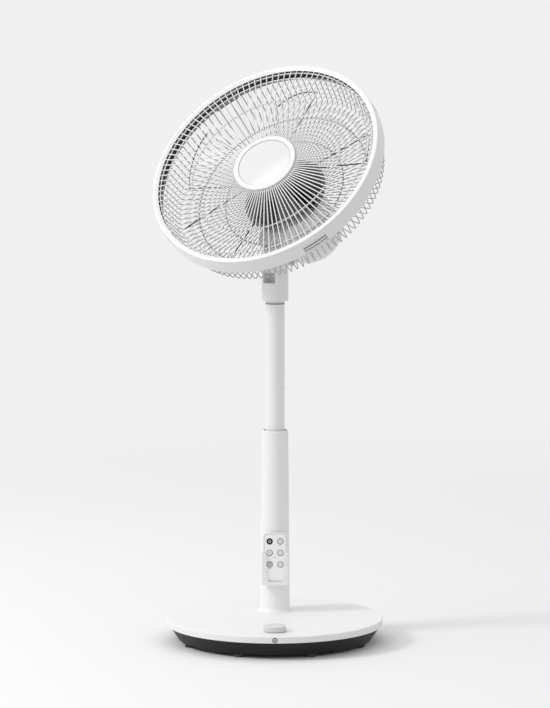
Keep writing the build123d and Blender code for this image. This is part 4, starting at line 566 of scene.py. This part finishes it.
print("dressed", len(dressed), "pieces")

# %% [markdown]
# Small printed or moulded signs are flat shapes a twentieth of a millimetre thick. Each is drawn as
# closed outlines in a plane and filled, and an outline inside another one becomes a hole. A curve
# object does that by itself, and is then turned into a mesh.

# %% Helper for flat signs
SIGN_THICKNESS = 0.00005


def round_point(middle, radius, t):
    """The point of a circle at an angle in radians."""
    return middle[0] + radius * math.cos(t), middle[1] + radius * math.sin(t)


def ring_points(middle, radius, count=48):
    """Points round a circle, in millimetres."""
    return [round_point(middle, radius, 2 * math.pi * step / count) for step in range(count)]


def bar_points(start, end, width):
    """Four corners of a straight bar between two points."""
    along_bar = Vector((end[0] - start[0], end[1] - start[1])).normalized()
    across = Vector((-along_bar.y, along_bar.x)) * width / 2
    corners = (Vector(start) + across, Vector(start) - across, Vector(end) - across, Vector(end) + across)
    return [tuple(corner) for corner in corners]


def arc_points(middle, radius, width, first, last, count=28):
    """Outline of a bent bar: part of a ring from one angle to another, in degrees."""
    turns = [math.radians(first + (last - first) * step / count) for step in range(count + 1)]
    outer = [round_point(middle, radius + width / 2, t) for t in turns]
    inner = [round_point(middle, radius - width / 2, t) for t in turns]
    return outer + inner[::-1]


def flat_sign(name, outlines, place, body, finish, thickness=SIGN_THICKNESS):
    """Fills closed outlines (millimetres) and lays them in the plane of a 4x4 placing matrix."""
    curve = bpy.data.curves.new(name, "CURVE")
    curve.dimensions = "2D"
    curve.fill_mode = "BOTH"
    curve.extrude = thickness / 2
    for outline in outlines:
        spline = curve.splines.new("POLY")
        spline.points.add(len(outline) - 1)
        for point, (x, y) in zip(spline.points, outline):
            point.co = (x * MM, y * MM, 0.0, 1.0)
        spline.use_cyclic_u = True
    drawn = bpy.data.objects.new(name + "_outline", curve)
    bpy.context.scene.collection.objects.link(drawn)
    bpy.context.view_layer.update()
    mesh = bpy.data.meshes.new_from_object(drawn.evaluated_get(bpy.context.evaluated_depsgraph_get()))
    bpy.data.objects.remove(drawn)
    mesh.transform(place)
    mesh.name = name
    sign = bpy.data.objects.new(name, mesh)
    bpy.context.scene.collection.objects.link(sign)
    mesh.materials.clear()
    mesh.materials.append(finish)
    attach(sign, body)
    return sign


def facing_front(x, y, z):
    """Placing matrix of a plane that faces the front, with its origin at a point in metres."""
    return Matrix.Translation((x, y, z)) @ Matrix.Rotation(math.radians(90.0), 4, "X")


# %% [markdown]
# A slim remote control is covered by a thin printed foil. The foil is a rounded rectangle, a little
# smaller than the case, with a hole for every key. The holes come from the keys' own boxes.

# %% Foil on the remote control
key_names = ["power_key", "key_2", "key_3", "key_4", "key_5", "key_6"]
key_middles = {}
for name in key_names:
    low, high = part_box(name)
    key_middles[name] = ((low.x + high.x) / 2, low.y, (low.z + high.z) / 2)
case_low, case_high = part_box("remote_case")
case_middle_z = (case_low.z + case_high.z) / 2
FOIL_MARGIN = 1.7
FOIL_CORNER = 4.5
FOIL_THICKNESS = 0.0001
FOIL_SINK = 0.00001
KEY_HOLE = 5.1


def rounded_outline(half_width, half_height, corner, steps=10):
    """Outline of a rounded rectangle about the origin."""
    outline = []
    quarters = ((1, 1, 0.0), (-1, 1, 90.0), (-1, -1, 180.0), (1, -1, 270.0))
    for sign_x, sign_y, first in quarters:
        middle = (sign_x * (half_width - corner), sign_y * (half_height - corner))
        for step in range(steps + 1):
            t = math.radians(first + 90.0 * step / steps)
            outline.append(round_point(middle, corner, t))
    return outline


half_width = (case_high.x - case_low.x) / 2 / MM - FOIL_MARGIN
half_height = (case_high.z - case_low.z) / 2 / MM - FOIL_MARGIN
outlines = [rounded_outline(half_width, half_height, FOIL_CORNER)]
for x, y, z in key_middles.values():
    outlines.append(ring_points((x / MM, (z - case_middle_z) / MM), KEY_HOLE))
foil_place = facing_front(0.0, case_low.y + FOIL_SINK, case_middle_z)
foil = flat_sign("remote_foil", outlines, foil_place, "remote", foil_tone, FOIL_THICKNESS)
print("foil", [round(value, 4) for value in foil.dimensions])

# %% [markdown]
# The foil is printed: a grey ring surrounds every key hole, and three short marks stand under the keys.
# A thin grey line runs round its edge as painted shade, for the rounded edge of the remote.

# %% Print and painted edge shade on the foil
LINE_WIDTH = 0.6
RING_WIDTH = 0.5
MARK_WIDTH = 0.7
PRINT_AND_SHADE_RISE = 0.00005
MARK_PLACES = (("key_2", 6.9, -1.9, 0.9), ("key_3", 8.0, 6.6, 11.4), ("key_5", 7.2, -2.6, 2.0))

print_and_shade_place = facing_front(0.0, case_low.y - PRINT_AND_SHADE_RISE, case_middle_z)
edge_shade_line = [
    rounded_outline(half_width, half_height, FOIL_CORNER),
    rounded_outline(half_width - LINE_WIDTH, half_height - LINE_WIDTH, FOIL_CORNER - LINE_WIDTH),
]
marks = []
for x, y, z in key_middles.values():
    middle = (x / MM, (z - case_middle_z) / MM)
    marks.append(ring_points(middle, KEY_HOLE + RING_WIDTH))
    marks.append(ring_points(middle, KEY_HOLE))
for name, drop, start, end in MARK_PLACES:
    x, z = key_middles[name][0] / MM, (key_middles[name][2] - case_middle_z) / MM
    marks.append(bar_points((x + start, z - drop), (x + end, z - drop), MARK_WIDTH))
# The line round the foil's edge is painted shade for the rounded edge of the remote, not print.
flat_sign("remote_edge_shade", edge_shade_line, print_and_shade_place, "remote", edge_shade_tone)
flat_sign("remote_marks", marks, print_and_shade_place, "remote", ink_grey)
print("outlines printed:", len(marks))

# %% [markdown]
# Every key but the power key carries a thin printed ring, and every key a plain symbol that any fan
# could have: a power sign, a fan, a plus and a minus, a clock and a swing arrow. The power key is black
# with a white sign.

# %% Signs on the keys
RING_OUTER = 4.55
RING_INNER = 3.75
BOLD = 0.75
PLAIN = 0.5
SWING_LINE = 0.45
HAND = 0.4
ARM = 1.5
FAN_TURNS = (0.3, 2.4, 4.5)
FAN_HUB = 0.75
FAN_BLADE = 0.95


def fan_blade(t):
    """One bent blade of the fan sign, at an angle in radians."""
    first = math.degrees(t) - 40
    return arc_points(round_point((0, 0), FAN_HUB, t), FAN_BLADE, PLAIN, first, first + 170)


signs = {
    "power_key": [
        arc_points((0, 0), 1.9, BOLD, -235, 55),
        bar_points((0, 0.6), (0, 2.7), BOLD),
    ],
    "key_2": [fan_blade(t) for t in FAN_TURNS],
    "key_3": [
        bar_points((-ARM, 0), (ARM, 0), PLAIN),
        bar_points((0, -ARM), (0, -0.27), PLAIN),
        bar_points((0, 0.27), (0, ARM), PLAIN),
    ],
    "key_4": [bar_points((-ARM, 0), (ARM, 0), PLAIN)],
    "key_5": [
        ring_points((0, 0), 2.0),
        ring_points((0, 0), 1.55),
        bar_points((0, 0.0), (0, 1.2), HAND),
        bar_points((0.2, 0.0), (1.0, 0.0), HAND),
    ],
    "key_6": [
        arc_points((0, -1.2), 2.3, SWING_LINE, 40, 140),
        bar_points((1.9, 0.9), (1.75, -0.3), SWING_LINE),
        bar_points((-1.9, 0.9), (-1.75, -0.3), SWING_LINE),
    ],
}
bodies = frame["record"]["behaviour"]["bodies"]
key_bodies = {name: body for body, members in bodies.items() for name in members}
for name, outlines in signs.items():
    x, y, z = key_middles[name]
    place = facing_front(x, y - SIGN_THICKNESS / 2, z)
    ink = ink_white if name == "power_key" else ink_dark
    flat_sign(name + "_sign", outlines, place, key_bodies[name], ink)
    if name != "power_key":
        rings = [ring_points((0, 0), RING_OUTER), ring_points((0, 0), RING_INNER)]
        flat_sign(name + "_ring", rings, place, key_bodies[name], ink_grey)
print("signs on", len(signs), "keys")

# %% [markdown]
# The stage is a wide round floor. It catches the soft shadow near the object. Farther out it fades into
# the pale tone of the world, so no edge is drawn behind the object from any side. It looks pale to the
# camera but throws back less light than a white floor would, so the undersides of the fan stay shaded.

# %% Floor
FLOOR_RADIUS = 12.0
FLOOR_SIDES = 96
FADE_START = 0.9
FADE_END = 3.0
FLOOR_SEEN = (0.86, 0.86, 0.863)

turns = [2 * math.pi * step / FLOOR_SIDES for step in range(FLOOR_SIDES)]
build = bmesh.new()
rim = [build.verts.new((*round_point((0, 0), FLOOR_RADIUS, t), 0.0)) for t in turns]
build.faces.new(rim)
floor_mesh = bpy.data.meshes.new("floor")
build.to_mesh(floor_mesh)
build.free()
floor = bpy.data.objects.new("floor", floor_mesh)
bpy.context.scene.collection.objects.link(floor)

floor_paint = moulded("floor_paint", (0.66, 0.66, 0.66), (0.64, 0.64, 0.64), (0.8, 0.9), 60.0, 0.0001, 0.6)
tree, shader = inside(floor_paint)
seen = seen_directly(tree)
overpaint(tree, shader, seen, FLOOR_SEEN)
shader.inputs["Specular IOR Level"].default_value = 0.1
distance = vector_step(tree, "LENGTH", tree.nodes.new("ShaderNodeTexCoord").outputs["Object"])
fade = tree.nodes.new("ShaderNodeMapRange")
fade.interpolation_type = "SMOOTHSTEP"
fade.inputs["From Min"].default_value = FADE_START
fade.inputs["From Max"].default_value = FADE_END
tree.links.new(distance, fade.inputs["Value"])
pale = tree.nodes.new("ShaderNodeEmission")
pale.inputs["Color"].default_value = (*PALE_SEEN, 1.0)
fade_mix = tree.nodes.new("ShaderNodeMixShader")
tree.links.new(number_step(tree, "MULTIPLY", seen, fade.outputs["Result"]), fade_mix.inputs["Fac"])
tree.links.new(shader.outputs[0], fade_mix.inputs[1])
tree.links.new(pale.outputs[0], fade_mix.inputs[2])
tree.links.new(fade_mix.outputs[0], tree.nodes["Material Output"].inputs["Surface"])
floor_mesh.materials.append(floor_paint)
print("floor", [round(value, 2) for value in floor.dimensions])

# %% Finish
bpy.context.view_layer.update()
